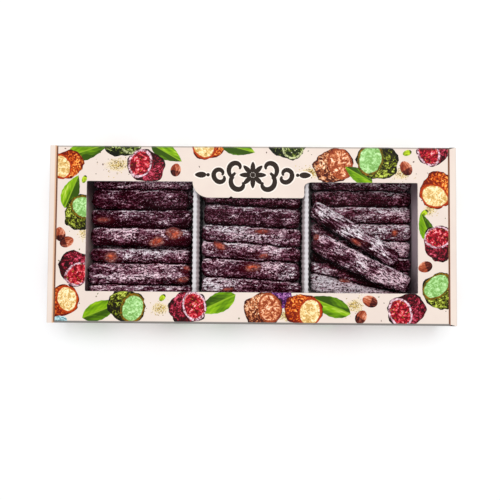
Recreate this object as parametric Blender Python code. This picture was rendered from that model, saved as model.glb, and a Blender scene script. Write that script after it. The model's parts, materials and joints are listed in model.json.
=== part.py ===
"""A windowed gift carton of dark, nut-filled Turkish delight sticks.

Metres, +Z up. The origin is the middle of the carton's underside. +X runs along the carton,
+Y towards the fold of its lid, and the window in the lid faces +Z. Two dividers of fluted
paper and two spacers of plain board make three compartments. Left and middle hold two full
layers of sticks, and the right one holds its lower layer with two sticks left on top.
"""
import math
import random

import bmesh
import bpy
from mathutils import Matrix, Vector, noise

MM = 0.001
GAP = 0.3 * MM

# Carton board: a tray with thick rolled side walls, and a lid that drops between them
CARTON_LENGTH = 386.6 * MM
CARTON_WIDTH = 168.8 * MM
CARTON_HEIGHT = 45.0 * MM
BOARD = 1.6 * MM
ROLLED_WALL = 6.3 * MM
ROLL_RADIUS = 1.2 * MM
CORNER_RADIUS = 0.8 * MM
LID_SIDE_GAP = 0.7 * MM
LID_FOLD_RADIUS = 1.1 * MM
TUCK_FLAP_DEPTH = 24.0 * MM

# Window in the lid, with a tab that dips into its long back edge
WINDOW_LENGTH = 314.4 * MM
WINDOW_WIDTH = 104.8 * MM
WINDOW_CENTRE = (-0.4 * MM, -2.0 * MM)
WINDOW_CORNER = 2.0 * MM
TAB_DROP = 15.2 * MM
TAB_LEFT = -56.8 * MM
TAB_RIGHT = 49.4 * MM
TAB_SWEEP = 16.0 * MM
TAB_CORNER = 2.6 * MM
TAB_FLARE = (7.6 * MM, 4.6 * MM)
FILM = 0.3 * MM
FILM_MARGIN = 7.0 * MM

# Fittings inside
COMPARTMENTS_END = 159.6 * MM
SPACER_BOARD = 1.0 * MM
DIVIDER_CENTRES = {"left": -54.8 * MM, "right": 52.3 * MM}
DIVIDER_THICKNESS = 4.6 * MM
DIVIDER_HEIGHT = 39.2 * MM
FLUTE_PITCH = 4.9 * MM
FLUTE_DEPTH = 0.55 * MM
POINTS_PER_FLUTE = 4

# Sticks: two layers, each as deep as one stick
LAYER_DEPTH = 18.2 * MM
SQUARENESS = 3.0
CROWN_SPREAD = 1.6 * MM
END_SPREAD = 1.5 * MM
SEAM_WAVE = 0.9 * MM
SEAM_WAVE_LENGTH = 24.0 * MM
SEAM_WAVE_STEP = 7.3

# Lumps pull the skin in, most at the crown and least underneath
LUMP_DEPTH = 0.07
LUMP_LENGTH = 17.0 * MM
LUMP_AROUND = 1.3
LUMP_BELOW = 0.3
LUMP_SEEDS = 50.0

# Nuts under the skin lift it
NUT_RISE = 1.1 * MM
NUT_REACH = 6.5 * MM
NUT_RING = 4.0 * MM

# How far in from an end, in half widths, and how much of the full section is there
END_ROUNDING = ((0.0, 0.60), (0.14, 0.86), (0.5, 1.0))
CLEAR_OF_ROUNDING = 1.4

# Sides round a stick and rings along it, apart from those of its ends
VISIBLE = (12, 7)
UNDER_LID = (8, 5)
BELOW = (8, 2)

# Where the rows of a compartment begin and end along X, in millimetres
ROW_ENDS = {"left": (-155.0, -59.0), "middle": (-47.0, 46.2), "right": (58.6, 157.8)}

# Seams between neighbouring sticks from the back wall to the front, in millimetres:
# the place in Y at the row's left and right end, then the air left there beyond a close fit
SEAMS = {
    "left": (
        (63.2, 63.0, 0.0, 0.0),
        (44.4, 44.0, 0.0, 0.0),
        (24.5, 24.1, 0.0, 0.0),
        (7.2, 6.4, 0.0, 0.0),
        (-10.8, -11.2, 3.0, 3.2),
        (-27.0, -27.6, 0.0, 0.0),
        (-48.4, -48.8, 0.0, 0.0),
        (-65.0, -64.6, 0.0, 0.0),
    ),
    "middle": (
        (66.0, 64.6, 0.0, 0.0),
        (48.6, 45.8, 0.0, 0.0),
        (31.0, 26.0, 0.0, 0.0),
        (11.2, 6.8, 0.0, 0.0),
        (-4.4, -12.4, 0.0, 0.0),
        (-21.6, -25.2, 0.0, 0.0),
        (-39.8, -44.8, 0.0, 0.0),
        (-59.0, -62.6, 2.4, 0.8),
    ),
    "right": (
        (64.6, 64.6, 0.0, 0.0),
        (47.0, 46.8, 0.0, 0.0),
        (31.2, 30.8, 0.0, 0.0),
        (14.2, 13.8, 0.0, 0.0),
        (-2.0, -3.8, 0.0, 0.0),
        (-13.6, -21.2, 0.0, 0.0),
        (-24.4, -33.4, 0.0, 0.0),
        (-35.4, -50.4, 0.0, 7.0),
        (-53.4, -70.2, 8.6, 0.0),
    ),
}
BED_ROWS = 9

# Rows that show in the window, counted from the back: the others lie under the lid's margin
ROWS_IN_VIEW = {"left": range(1, 8), "middle": range(2, 8), "right": range(1, 9)}

# Nuts: along X in millimetres, and across from -1 at the stick's front to 1 at its back
NUTS = {
    "stick_left_4": ((-143.0, -0.2),),
    "stick_left_5": ((-75.4, 0.3), (-91.2, -0.5)),
    "stick_left_6": ((-135.5, -0.2),),
    "stick_left_7": ((-63.3, 0.5), (-66.9, -0.4)),
    "stick_middle_5": ((9.7, 0.4),),
    "stick_middle_6": ((-30.2, 0.2), (11.8, -0.1)),
    "stick_middle_7": ((0.9, 0.2),),
    "stick_middle_8": ((-22.5, 0.0),),
    "stick_right_5": ((142.2, 0.0),),
    "stick_right_9": ((93.6, 0.6),),
}

# Loose sticks on top, in millimetres and degrees: the widths are at the left end, the middle
# and the right end, and bow is how far the middle lies off the line between the ends
LOOSE_STICKS = {
    "stick_loose_1": dict(
        centre=(99.9, 2.5),
        turn=-32.0,
        length=96.0,
        widths=(16.0, 17.4, 17.0),
        depth=16.6,
        bow=0.0,
        nuts=((6.0, -0.5),),
    ),
    "stick_loose_2": dict(
        centre=(105.7, -24.8),
        turn=-25.9,
        length=101.0,
        widths=(19.0, 19.6, 18.4),
        depth=18.0,
        bow=-2.0,
        nuts=((-42.0, 0.2),),
    ),
}

# Worked out from the sizes above
LID_UNDERSIDE = CARTON_HEIGHT - BOARD
TRAY_RIM = LID_UNDERSIDE - GAP
INNER_HALF_LENGTH = CARTON_LENGTH / 2 - ROLLED_WALL
INNER_BACK = CARTON_WIDTH / 2 - BOARD
FLAP_OUTSIDE = -(CARTON_WIDTH / 2 - BOARD - GAP)
INNER_FRONT = FLAP_OUTSIDE + BOARD
FITTING_FRONT, FITTING_BACK = INNER_FRONT + GAP, INNER_BACK - GAP
FLOOR = BOARD
FILM_TOP = LID_UNDERSIDE - GAP
LOWER_LAYER = (FLOOR + GAP, FLOOR + GAP + LAYER_DEPTH)
UPPER_LAYER = (LOWER_LAYER[1] + GAP, LOWER_LAYER[1] + GAP + LAYER_DEPTH)
PAST_THE_BOARD = 5.0 * MM


def clear_scene():
    for old in list(bpy.data.objects):
        bpy.data.objects.remove(old)


def make_material(name, colour, roughness, alpha=1.0):
    material = bpy.data.materials.new(name)
    material.use_nodes = True
    shader = material.node_tree.nodes["Principled BSDF"]
    shader.inputs["Base Color"].default_value = (*colour, 1.0)
    shader.inputs["Roughness"].default_value = roughness
    shader.inputs["Metallic"].default_value = 0.0
    shader.inputs["Alpha"].default_value = alpha
    return material


def add_object(name, builder, material):
    mesh = bpy.data.meshes.new(name)
    bmesh.ops.recalc_face_normals(builder, faces=builder.faces)
    builder.to_mesh(mesh)
    builder.free()
    piece = bpy.data.objects.new(name, mesh)
    bpy.context.collection.objects.link(piece)
    if material is not None:
        mesh.materials.append(material)
    return piece


def box(low, high):
    builder = bmesh.new()
    size = Vector(high) - Vector(low)
    middle = (Vector(high) + Vector(low)) / 2
    placing = Matrix.Translation(middle) @ Matrix.Diagonal((*size, 1.0))
    bmesh.ops.create_cube(builder, size=1.0, matrix=placing)
    return builder


def prism(outline, axis, start, end):
    """Extrudes a flat outline along X, Y or Z from start to end."""
    builder = bmesh.new()

    def place(point, along):
        a, b = point
        return {"X": (along, a, b), "Y": (a, along, b), "Z": (a, b, along)}[axis]

    first = [builder.verts.new(place(point, start)) for point in outline]
    last = [builder.verts.new(place(point, end)) for point in outline]
    count = len(outline)
    for i in range(count):
        j = (i + 1) % count
        builder.faces.new((first[i], first[j], last[j], last[i]))
    builder.faces.new(first[::-1])
    builder.faces.new(last)
    return builder


def cut_away(piece, name, builder):
    cutter = add_object(name, builder, None)
    cutter.hide_render = True
    cutter.display_type = "WIRE"
    modifier = piece.modifiers.new(name, "BOOLEAN")
    modifier.operation = "DIFFERENCE"
    modifier.solver = "EXACT"
    modifier.object = cutter


def round_edges(builder, chosen, radius, segments):
    """Bevels each edge for which chosen(start, end) is true."""
    edges = [edge for edge in builder.edges if chosen(*(v.co for v in edge.verts))]
    bmesh.ops.bevel(
        builder, geom=edges, offset=radius, segments=segments, profile=0.5, affect="EDGES"
    )


def smooth_shade(piece, angle):
    piece.data.shade_smooth()
    piece.data.set_sharp_from_angle(angle=math.radians(angle))


def arc(centre, radii, start, end, segments):
    """Points of an elliptic arc, angles in degrees."""
    points = []
    for i in range(segments + 1):
        angle = math.radians(start + (end - start) * i / segments)
        points.append((centre[0] + radii[0] * math.cos(angle), centre[1] + radii[1] * math.sin(angle)))
    return points


def make_tray(material):
    """The bottom and its four walls, with the long walls low enough for the lid to lie on."""
    half_x, half_y = CARTON_LENGTH / 2, CARTON_WIDTH / 2
    above = CARTON_HEIGHT + PAST_THE_BOARD
    past_y = half_y + PAST_THE_BOARD

    def upright(a, b):
        return abs(a.z - b.z) > BOARD

    def top_of_rolled_wall(a, b):
        return min(a.z, b.z) > TRAY_RIM and abs(a.y - b.y) > half_y

    builder = box((-half_x, -half_y, 0.0), (half_x, half_y, CARTON_HEIGHT))
    round_edges(builder, upright, CORNER_RADIUS, 2)
    round_edges(builder, top_of_rolled_wall, ROLL_RADIUS, 3)
    tray = add_object("carton_tray", builder, material)
    low, high = (-INNER_HALF_LENGTH, -INNER_BACK, FLOOR), (INNER_HALF_LENGTH, INNER_BACK, above)
    cut_away(tray, "tray_hollow", box(low, high))
    low, high = (-INNER_HALF_LENGTH, -past_y, TRAY_RIM), (INNER_HALF_LENGTH, past_y, above)
    cut_away(tray, "lid_seat", box(low, high))
    smooth_shade(tray, 40)


def window_outline():
    """The window's edge, anticlockwise from its front left corner, with the tab left standing."""
    cx, cy = WINDOW_CENTRE
    left, right = cx - WINDOW_LENGTH / 2, cx + WINDOW_LENGTH / 2
    front, back = cy - WINDOW_WIDTH / 2, cy + WINDOW_WIDTH / 2
    r = WINDOW_CORNER
    tab_edge = back - TAB_DROP
    flare_x, flare_y = TAB_FLARE
    points = arc((left + r, front + r), (r, r), 180, 270, 2)
    points += arc((right - r, front + r), (r, r), 270, 360, 2)
    points += arc((right - r, back - r), (r, r), 0, 90, 2)
    points += arc((TAB_RIGHT + flare_x, back - flare_y), (flare_x, flare_y), 90, 180, 4)
    points += arc((TAB_RIGHT - TAB_CORNER, tab_edge + TAB_CORNER), (TAB_CORNER, TAB_CORNER), 0, -90, 3)
    points += arc((TAB_LEFT + TAB_SWEEP, back), (TAB_SWEEP, TAB_DROP), 270, 180, 7)
    points += arc((left + r, back - r), (r, r), 90, 180, 2)
    return points


def make_lid(material):
    """A flat panel with its tuck flap, which goes down behind the tray's front wall."""
    half_x, half_y = INNER_HALF_LENGTH - LID_SIDE_GAP, CARTON_WIDTH / 2
    r = LID_FOLD_RADIUS
    flap_foot = CARTON_HEIGHT - TUCK_FLAP_DEPTH
    profile = arc((-half_y + r, CARTON_HEIGHT - r), (r, r), 180, 90, 3)
    profile += arc((half_y - r, CARTON_HEIGHT - r), (r, r), 90, 0, 3)
    profile += [(half_y, LID_UNDERSIDE), (INNER_FRONT, LID_UNDERSIDE), (INNER_FRONT, flap_foot)]
    profile += [(FLAP_OUTSIDE, flap_foot), (FLAP_OUTSIDE, LID_UNDERSIDE), (-half_y, LID_UNDERSIDE)]
    lid = add_object("carton_lid", prism(profile, "X", -half_x, half_x), material)
    below, above = LID_UNDERSIDE - PAST_THE_BOARD, CARTON_HEIGHT + PAST_THE_BOARD
    cut_away(lid, "window_cut", prism(window_outline(), "Z", below, above))
    smooth_shade(lid, 40)


def make_film(material):
    cx, cy = WINDOW_CENTRE
    reach_x, reach_y = WINDOW_LENGTH / 2 + FILM_MARGIN, WINDOW_WIDTH / 2 + FILM_MARGIN
    low = (cx - reach_x, cy - reach_y, FILM_TOP - FILM)
    high = (cx + reach_x, cy + reach_y, FILM_TOP)
    add_object("window_film", box(low, high), material)


def make_spacer(side, material):
    """A folded board between the last stick and the rolled wall, open underneath."""
    sign = -1 if side == "left" else 1
    inner, outer = sign * COMPARTMENTS_END, sign * (INNER_HALF_LENGTH - GAP)
    step = sign * SPACER_BOARD
    foot, top = FLOOR + GAP, FILM_TOP - FILM - GAP
    profile = [
        (inner, foot),
        (inner, top),
        (outer, top),
        (outer, foot),
        (outer - step, foot),
        (outer - step, top - SPACER_BOARD),
        (inner + step, top - SPACER_BOARD),
        (inner + step, foot),
    ]
    add_object("spacer_" + side, prism(profile, "Y", FITTING_FRONT, FITTING_BACK), material)


def make_divider(side, material):
    """A wall of folded paper with upright flutes on both faces."""
    centre = DIVIDER_CENTRES[side]
    length = FITTING_BACK - FITTING_FRONT
    steps = int(length / FLUTE_PITCH) * POINTS_PER_FLUTE
    mean = DIVIDER_THICKNESS / 2 - FLUTE_DEPTH / 2

    def half_thickness(i):
        return mean + FLUTE_DEPTH / 2 * math.cos(2 * math.pi * i / POINTS_PER_FLUTE)

    along = [FITTING_FRONT + length * i / steps for i in range(steps + 1)]
    outline = [(centre + half_thickness(i), y) for i, y in enumerate(along)]
    outline += [(centre - half_thickness(i), y) for i, y in reversed(list(enumerate(along)))]
    foot = FLOOR + GAP
    add_object("divider_" + side, prism(outline, "Z", foot, foot + DIVIDER_HEIGHT), material)


def section(sides):
    """Points round a squarish oval, each from -1 to 1 across and up."""
    points = []
    for k in range(sides):
        angle = 2 * math.pi * (k + 0.5) / sides
        across, up = math.cos(angle), math.sin(angle)
        across = math.copysign(abs(across) ** (2 / SQUARENESS), across)
        up = math.copysign(abs(up) ** (2 / SQUARENESS), up)
        points.append((across, up))
    return points


def nut_lift(x, y, nuts):
    return sum(
        NUT_RISE * max(0.0, 1 - ((x - nut_x) ** 2 + (y - nut_y) ** 2) / NUT_REACH**2)
        for nut_x, nut_y in nuts
    )


def skin_stick(stations, sides, lump_seed, nuts):
    """Skins a stick over stations of (x, share of the section, back, front, low, high)."""
    builder = bmesh.new()
    rings = []
    for x, scale, back, front, low, high in stations:
        centre_y, centre_z = (back + front) / 2, (low + high) / 2
        half_y, half_z = (back - front) / 2, (high - low) / 2
        nut_places = [(nut_x, centre_y + across * half_y) for nut_x, across in nuts]
        ring = []
        for across, up in section(sides):
            probe = Vector((x / LUMP_LENGTH, LUMP_AROUND * across + lump_seed, LUMP_AROUND * up))
            share = LUMP_BELOW + (1 - LUMP_BELOW) * max(up, 0)
            size = scale * (1 - LUMP_DEPTH * share * (1 + noise.noise(probe)))
            y = centre_y + half_y * across * size
            z = centre_z + half_z * up * size
            if up > 0:
                z += nut_lift(x, y, nut_places)
            ring.append(builder.verts.new((x, y, z)))
        rings.append(ring)
    for one, two in zip(rings, rings[1:]):
        for k in range(sides):
            j = (k + 1) % sides
            builder.faces.new((one[k], one[j], two[j], two[k]))
    builder.faces.new(rings[0][::-1])
    builder.faces.new(rings[-1])
    bmesh.ops.triangulate(builder, faces=builder.faces)
    return builder


def ring_places(start, end, half_width, rings, row, nuts):
    """X of every ring and its share of the full section, which shrinks at the rounded ends.

    Rings stand close together at the ends, evenly along the row, and on both sides of a nut.
    """
    near = [(reach * half_width, share) for reach, share in END_ROUNDING]
    row_start, row_end = row
    even = [row_start + (row_end - row_start) * (i + 1) / (rings + 1) for i in range(rings)]
    at_nuts = [nut_x + side * NUT_RING for nut_x, _ in nuts for side in (-1, 1)]
    even = [x for x in even if all(abs(x - place) > NUT_RING for place in at_nuts)]
    clear = near[-1][0] * CLEAR_OF_ROUNDING
    inner = sorted(x for x in even + at_nuts if start + clear < x < end - clear)
    places = [(start + inset, share) for inset, share in near]
    places += [(x, 1.0) for x in inner]
    places += [(end - inset, share) for inset, share in reversed(near)]
    return places


def seam_place(compartment, index, x):
    """The seam's Y and the air beyond it, both in metres. Index 0 is the back wall."""
    start, end = (value * MM for value in ROW_ENDS[compartment])
    along = (x - start) / (end - start)
    seams = SEAMS[compartment]
    if index == 0:
        return FITTING_BACK, 0.0
    if index > len(seams):
        return FITTING_FRONT, 0.0
    left, right, air_left, air_right = (value * MM for value in seams[index - 1])
    wave = SEAM_WAVE * noise.noise(Vector((x / SEAM_WAVE_LENGTH, SEAM_WAVE_STEP * index, 0.0)))
    return left + (right - left) * along + wave, air_left + (air_right - air_left) * along


def row_limits(compartment, row, x):
    """The back and front Y of a row's stick at x."""
    back, air = seam_place(compartment, row, x)
    front, _ = seam_place(compartment, row + 1, x)
    return back - air - GAP / 2, front + GAP / 2


def make_rows(compartment, layer, chance, material):
    """One layer of sticks side by side, numbered from the back."""
    ends = [value * MM for value in ROW_ENDS[compartment]]
    low, high = layer
    for row in range(len(SEAMS[compartment]) + 1):
        name = f"stick_{compartment}_{row + 1}"
        sides, rings = VISIBLE if row in ROWS_IN_VIEW[compartment] else UNDER_LID
        first = ends[0] + chance.uniform(-0.5, 1) * END_SPREAD
        last = ends[1] - chance.uniform(-0.5, 1) * END_SPREAD
        crown = high - chance.random() * CROWN_SPREAD
        back, front = row_limits(compartment, row, first)
        nuts = [(x * MM, across) for x, across in NUTS.get(name, ())]
        places = ring_places(first, last, (back - front) / 2, rings, ends, nuts)
        stations = [(x, share, *row_limits(compartment, row, x), low, crown) for x, share in places]
        builder = skin_stick(stations, sides, chance.uniform(0, LUMP_SEEDS), nuts)
        smooth_shade(add_object(name, builder, material), 60)


def make_bed(compartment, chance, material):
    """The plain lower layer that the sticks in view lie on."""
    ends = [value * MM for value in ROW_ENDS[compartment]]
    sides, rings = BELOW
    pitch = (FITTING_BACK - FITTING_FRONT) / BED_ROWS
    for row in range(BED_ROWS):
        back = FITTING_BACK - pitch * row - GAP / 2
        front = back - pitch + GAP
        first = ends[0] + chance.random() * END_SPREAD
        last = ends[1] - chance.random() * END_SPREAD
        places = ring_places(first, last, pitch / 2, rings, ends, ())
        stations = [(x, share, back, front, *LOWER_LAYER) for x, share in places]
        builder = skin_stick(stations, sides, chance.uniform(0, LUMP_SEEDS), ())
        smooth_shade(add_object(f"bed_{compartment}_{row + 1}", builder, material), 60)


def make_loose_stick(name, spec, chance, material):
    """A stick on top of the right compartment's layer, turned in plan."""
    half_length = spec["length"] * MM / 2
    left, middle, right = (width * MM / 2 for width in spec["widths"])
    nuts = [(x * MM, across) for x, across in spec["nuts"]]
    low = LOWER_LAYER[1] + GAP
    high = low + spec["depth"] * MM
    sides, rings = VISIBLE
    ends = (-half_length, half_length)
    stations = []
    for x, share in ring_places(*ends, middle, rings, ends, nuts):
        along = x / half_length
        half_width = middle + ((right if along > 0 else left) - middle) * along**2
        centre = spec["bow"] * MM * (1 - along**2)
        stations.append((x, share, centre + half_width, centre - half_width, low, high))
    builder = skin_stick(stations, sides, chance.uniform(0, LUMP_SEEDS), nuts)
    stick = add_object(name, builder, material)
    stick.location = (spec["centre"][0] * MM, spec["centre"][1] * MM, 0.0)
    stick.rotation_euler = (0.0, 0.0, math.radians(spec["turn"]))
    smooth_shade(stick, 60)


def main():
    clear_scene()
    chance = random.Random(11)
    printed_board = make_material("printed_board", (0.86, 0.75, 0.66), 0.45)
    plain_board = make_material("plain_board", (0.42, 0.38, 0.38), 0.75)
    fluted_paper = make_material("fluted_paper", (0.75, 0.72, 0.74), 0.7)
    clear_film = make_material("clear_film", (0.95, 0.96, 0.97), 0.06, alpha=0.1)
    jelly = make_material("dusted_jelly", (0.11, 0.04, 0.08), 0.65)

    make_tray(printed_board)
    make_lid(printed_board)
    make_film(clear_film)
    for side in ("left", "right"):
        make_spacer(side, plain_board)
        make_divider(side, fluted_paper)
    for compartment in ("left", "middle"):
        make_bed(compartment, chance, jelly)
        make_rows(compartment, UPPER_LAYER, chance, jelly)
    make_rows("right", LOWER_LAYER, chance, jelly)
    for name, spec in LOOSE_STICKS.items():
        make_loose_stick(name, spec, chance, jelly)


main()
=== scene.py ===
# %% [markdown]
# # A gift carton of Turkish delight
# This lesson dresses a measured carton of dark Turkish delight sticks. The solids come from
# CAD and stay where they are, so every piece here is made around them, in metres, with the
# carton's underside on the floor and its window facing up.

# %% Load the frame
import json
import math
import random

import bmesh
import bpy
import numpy as np
from mathutils import Matrix, Vector, geometry, noise
from mathutils.bvhtree import BVHTree

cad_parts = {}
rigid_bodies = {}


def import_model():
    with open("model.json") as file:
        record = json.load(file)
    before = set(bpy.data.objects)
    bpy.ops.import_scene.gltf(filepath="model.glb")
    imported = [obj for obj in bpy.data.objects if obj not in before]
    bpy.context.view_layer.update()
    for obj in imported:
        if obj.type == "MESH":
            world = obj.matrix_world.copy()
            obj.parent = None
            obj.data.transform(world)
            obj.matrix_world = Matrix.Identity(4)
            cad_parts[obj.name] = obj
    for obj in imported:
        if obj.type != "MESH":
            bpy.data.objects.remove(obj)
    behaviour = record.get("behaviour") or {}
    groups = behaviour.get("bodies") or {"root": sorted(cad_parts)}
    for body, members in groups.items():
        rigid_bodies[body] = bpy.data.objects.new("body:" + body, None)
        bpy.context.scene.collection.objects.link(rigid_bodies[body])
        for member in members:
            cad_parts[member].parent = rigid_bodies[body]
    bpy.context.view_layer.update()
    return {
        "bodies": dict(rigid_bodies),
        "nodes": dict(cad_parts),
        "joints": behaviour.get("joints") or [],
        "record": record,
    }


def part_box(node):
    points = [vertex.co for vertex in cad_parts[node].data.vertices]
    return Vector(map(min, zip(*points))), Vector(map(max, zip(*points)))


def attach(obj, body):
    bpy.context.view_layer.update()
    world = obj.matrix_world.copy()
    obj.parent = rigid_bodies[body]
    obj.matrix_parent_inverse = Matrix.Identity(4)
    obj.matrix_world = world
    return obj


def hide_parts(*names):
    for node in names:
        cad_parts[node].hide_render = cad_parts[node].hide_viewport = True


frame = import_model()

MM = 0.001
nodes = frame["nodes"]

# %% [markdown]
# ## Sizes from the real carton
# The lid, its window and its tab have measured sizes. They are written once, in metres, and
# each later cell reads them from here.

# %% Sizes
lid_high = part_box("carton_lid")[1]
CARTON_TOP = lid_high.z
LID_HALF = (lid_high.x, lid_high.y)
LID_BOARD = 0.9 * MM
LID_FOLD = 1.1 * MM
LID_DROP = 1.6 * MM - LID_FOLD
WINDOW = dict(x=(-157.6 * MM, 156.8 * MM), y=(-54.4 * MM, 50.4 * MM), corner=1.1 * MM)
TAB = dict(
    left=-56.8 * MM,
    right=49.4 * MM,
    drop=15.2 * MM,
    sweep=16.0 * MM,
    corner=2.6 * MM,
    flare=(7.6 * MM, 4.6 * MM),
)
print("lid half size in mm:", [round(v / MM, 2) for v in LID_HALF])

# %% [markdown]
# ## Camera and light
# The photograph looks straight down from about half a metre, a little off the middle. The
# camera was solved from the carton's corners. A big soft light from beyond the carton's back
# edge gives the short shadow at its front, and a bright even surround keeps the table white.
# The light stays out of the window's mirror direction, so that the clear film shows no glare.

# %% Camera
scene = bpy.context.scene
camera_data = bpy.data.cameras.new("photo_camera")
camera_data.sensor_width = 36.0
camera_data.lens = 36.0
camera = bpy.data.objects.new("photo_camera", camera_data)
camera.location = (0.00196, -0.03117, 0.5175)
camera.rotation_euler = [math.radians(angle) for angle in (2.0415, 0.4205, 0.4583)]
scene.collection.objects.link(camera)
scene.camera = camera
scene.view_settings.view_transform = "Standard"
print("camera height in metres:", round(camera.location.z, 3))

# %% Light
light = bpy.data.lights.new("window_light", "AREA")
light.shape = "RECTANGLE"
light.size, light.size_y = 1.1, 0.9
light.energy = 12.5
lamp = bpy.data.objects.new("window_light", light)
lamp.location = (0.12, 0.46, 1.64)
lamp.rotation_euler = lamp.location.to_track_quat("Z", "Y").to_euler()
scene.collection.objects.link(lamp)

world = bpy.data.worlds.new("white_room")
world.use_nodes = True
surround = world.node_tree.nodes["Background"]
surround.inputs["Color"].default_value = (1.0, 1.0, 1.0, 1.0)
surround.inputs["Strength"].default_value = 0.82
scene.world = world
print("light:", light.energy, "watts, surround:", round(surround.inputs["Strength"].default_value, 2))

# %% [markdown]
# ## Shader maths as Python
# A material's pattern is easier to read as an expression than as a list of links. One small
# class wraps an output socket, so that `1 - mask` adds the Math node that works it out. Any
# other node comes from one method, which sets its options first and then its sockets. Values
# that are the same all over a surface go straight to the shader, with no node.


# %% The wire class
class Wire:
    """An output socket. Arithmetic on it adds Math nodes, or Vector Math nodes for vectors."""

    def __init__(self, socket):
        self.socket = socket
        self.tree = socket.id_data

    @staticmethod
    def node(tree, kind, settings=None, inputs=None, out=0):
        made = tree.nodes.new(kind)
        for name, value in (settings or {}).items():
            if name == "stops":
                Wire.fill_ramp(made.color_ramp, value)
            else:
                setattr(made, name, value)
        for key, value in (inputs or {}).items():
            Wire.feed(tree, made.inputs[key], value)
        return Wire(made.outputs[out])

    @staticmethod
    def feed(tree, socket, value):
        if isinstance(value, Wire):
            tree.links.new(value.socket, socket)
        elif socket.type == "VECTOR" and not hasattr(value, "__len__"):
            socket.default_value = (value, value, value)
        elif socket.type == "RGBA" and len(value) == 3:
            socket.default_value = (*value, 1.0)
        else:
            socket.default_value = value

    @staticmethod
    def fill_ramp(ramp, stops):
        while len(ramp.elements) < len(stops):
            ramp.elements.new(0.5)
        for element, (place, colour) in zip(ramp.elements, stops):
            element.position = place
            element.color = (*colour, 1.0)

    def reckon(self, operation, *others, swapped=False):
        values = [self, *others]
        if swapped:
            values.reverse()
        many = any(isinstance(v, Wire) and v.socket.type in ("VECTOR", "RGBA") for v in values)
        many = many or any(hasattr(value, "__len__") for value in values)
        kind = "ShaderNodeVectorMath" if many else "ShaderNodeMath"
        return Wire.node(self.tree, kind, {"operation": operation}, dict(enumerate(values)))

    def __add__(self, other):
        return self.reckon("ADD", other)

    __radd__ = __add__

    def __mul__(self, other):
        return self.reckon("MULTIPLY", other)

    __rmul__ = __mul__

    def __sub__(self, other):
        return self.reckon("SUBTRACT", other)

    def __rsub__(self, other):
        return self.reckon("SUBTRACT", other, swapped=True)

    def __truediv__(self, other):
        return self.reckon("DIVIDE", other)

    def __lt__(self, other):
        return self.reckon("LESS_THAN", other)

    def __gt__(self, other):
        return self.reckon("GREATER_THAN", other)

    def __abs__(self):
        return self.reckon("ABSOLUTE")

    def smooth(self, low, high):
        """0 below low, 1 above high and a smooth step between, or falling where low > high."""
        ends = (low, high, 0.0, 1.0) if low < high else (high, low, 1.0, 0.0)
        inputs = dict(zip(("From Min", "From Max", "To Min", "To Max"), ends))
        settings = {"interpolation_type": "SMOOTHSTEP"}
        return Wire.node(self.tree, "ShaderNodeMapRange", settings, {"Value": self, **inputs})

    def length(self):
        return Wire(self.reckon("LENGTH").socket.node.outputs["Value"])

    def parts(self):
        split = Wire.node(self.tree, "ShaderNodeSeparateXYZ", inputs={0: self}).socket.node
        return [Wire(socket) for socket in split.outputs]


print("wire class ready")


# %% Patterns that every material shares
def grain_noise(place, scale, detail=3.0, roughness=0.55, distortion=0.0, out=0):
    names = ("Vector", "Scale", "Detail", "Roughness", "Distortion")
    inputs = dict(zip(names, (place, scale, detail, roughness, distortion)))
    return Wire.node(place.tree, "ShaderNodeTexNoise", inputs=inputs, out=out)


def hairlines(pattern, width, fade=0.0):
    """1 along the thin lines where a noise crosses its middle value, and 0 away from them."""
    return abs(pattern - 0.5).smooth(width, fade)


def cells(place, scale, out="Distance", dimensions="3D"):
    inputs = {"Vector": place, "Scale": scale}
    return Wire.node(place.tree, "ShaderNodeTexVoronoi", {"voronoi_dimensions": dimensions}, inputs, out)


def mixed(factor, one, two):
    """one where factor is 0, and two where it is 1."""
    tree = next(v.tree for v in (factor, one, two) if isinstance(v, Wire))
    return Wire.node(tree, "ShaderNodeMix", {"data_type": "RGBA"}, {0: factor, 6: one, 7: two}, out=2)


def ramp(value, *stops):
    return Wire.node(value.tree, "ShaderNodeValToRGB", {"stops": stops}, {0: value})


def combined(x, y, z=0.0):
    tree = next(v.tree for v in (x, y, z) if isinstance(v, Wire))
    return Wire.node(tree, "ShaderNodeCombineXYZ", inputs={0: x, 1: y, 2: z})


def bumped(height, distance, strength):
    inputs = {"Height": height, "Distance": distance, "Strength": strength}
    return Wire.node(height.tree, "ShaderNodeBump", inputs=inputs)


def attribute(tree, name, out="Vector"):
    return Wire.node(tree, "ShaderNodeAttribute", {"attribute_name": name}, out=out)


def object_place(tree):
    """Object coordinates in millimetres."""
    return Wire.node(tree, "ShaderNodeTexCoord", out="Object") * 1000.0


def start_material(name, **uniform):
    """A material with its shader. The uniform values go straight to the shader's sockets."""
    material = bpy.data.materials.new(name)
    material.use_nodes = True
    shader = material.node_tree.nodes["Principled BSDF"]
    for socket, value in uniform.items():
        shader.inputs[socket.replace("_", " ")].default_value = value
    return material, material.node_tree, shader


def plug(shader, **wires):
    for socket, wire in wires.items():
        Wire.feed(shader.id_data, shader.inputs[socket.replace("_", " ")], wire)


print("shader helpers ready")

# %% [markdown]
# ## Geometry Nodes from Python
# A tree is a function with named inputs. One helper makes its sockets, another puts the tree
# on a piece and sets each input by its socket's identifier, and a third turns the result into
# a plain mesh. The mesh helpers turn meshes into editable ones and back.


# %% Tree helpers
SOCKETS = {
    float: "NodeSocketFloat",
    int: "NodeSocketInt",
    tuple: "NodeSocketVector",
    type(None): "NodeSocketMaterial",
}


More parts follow.
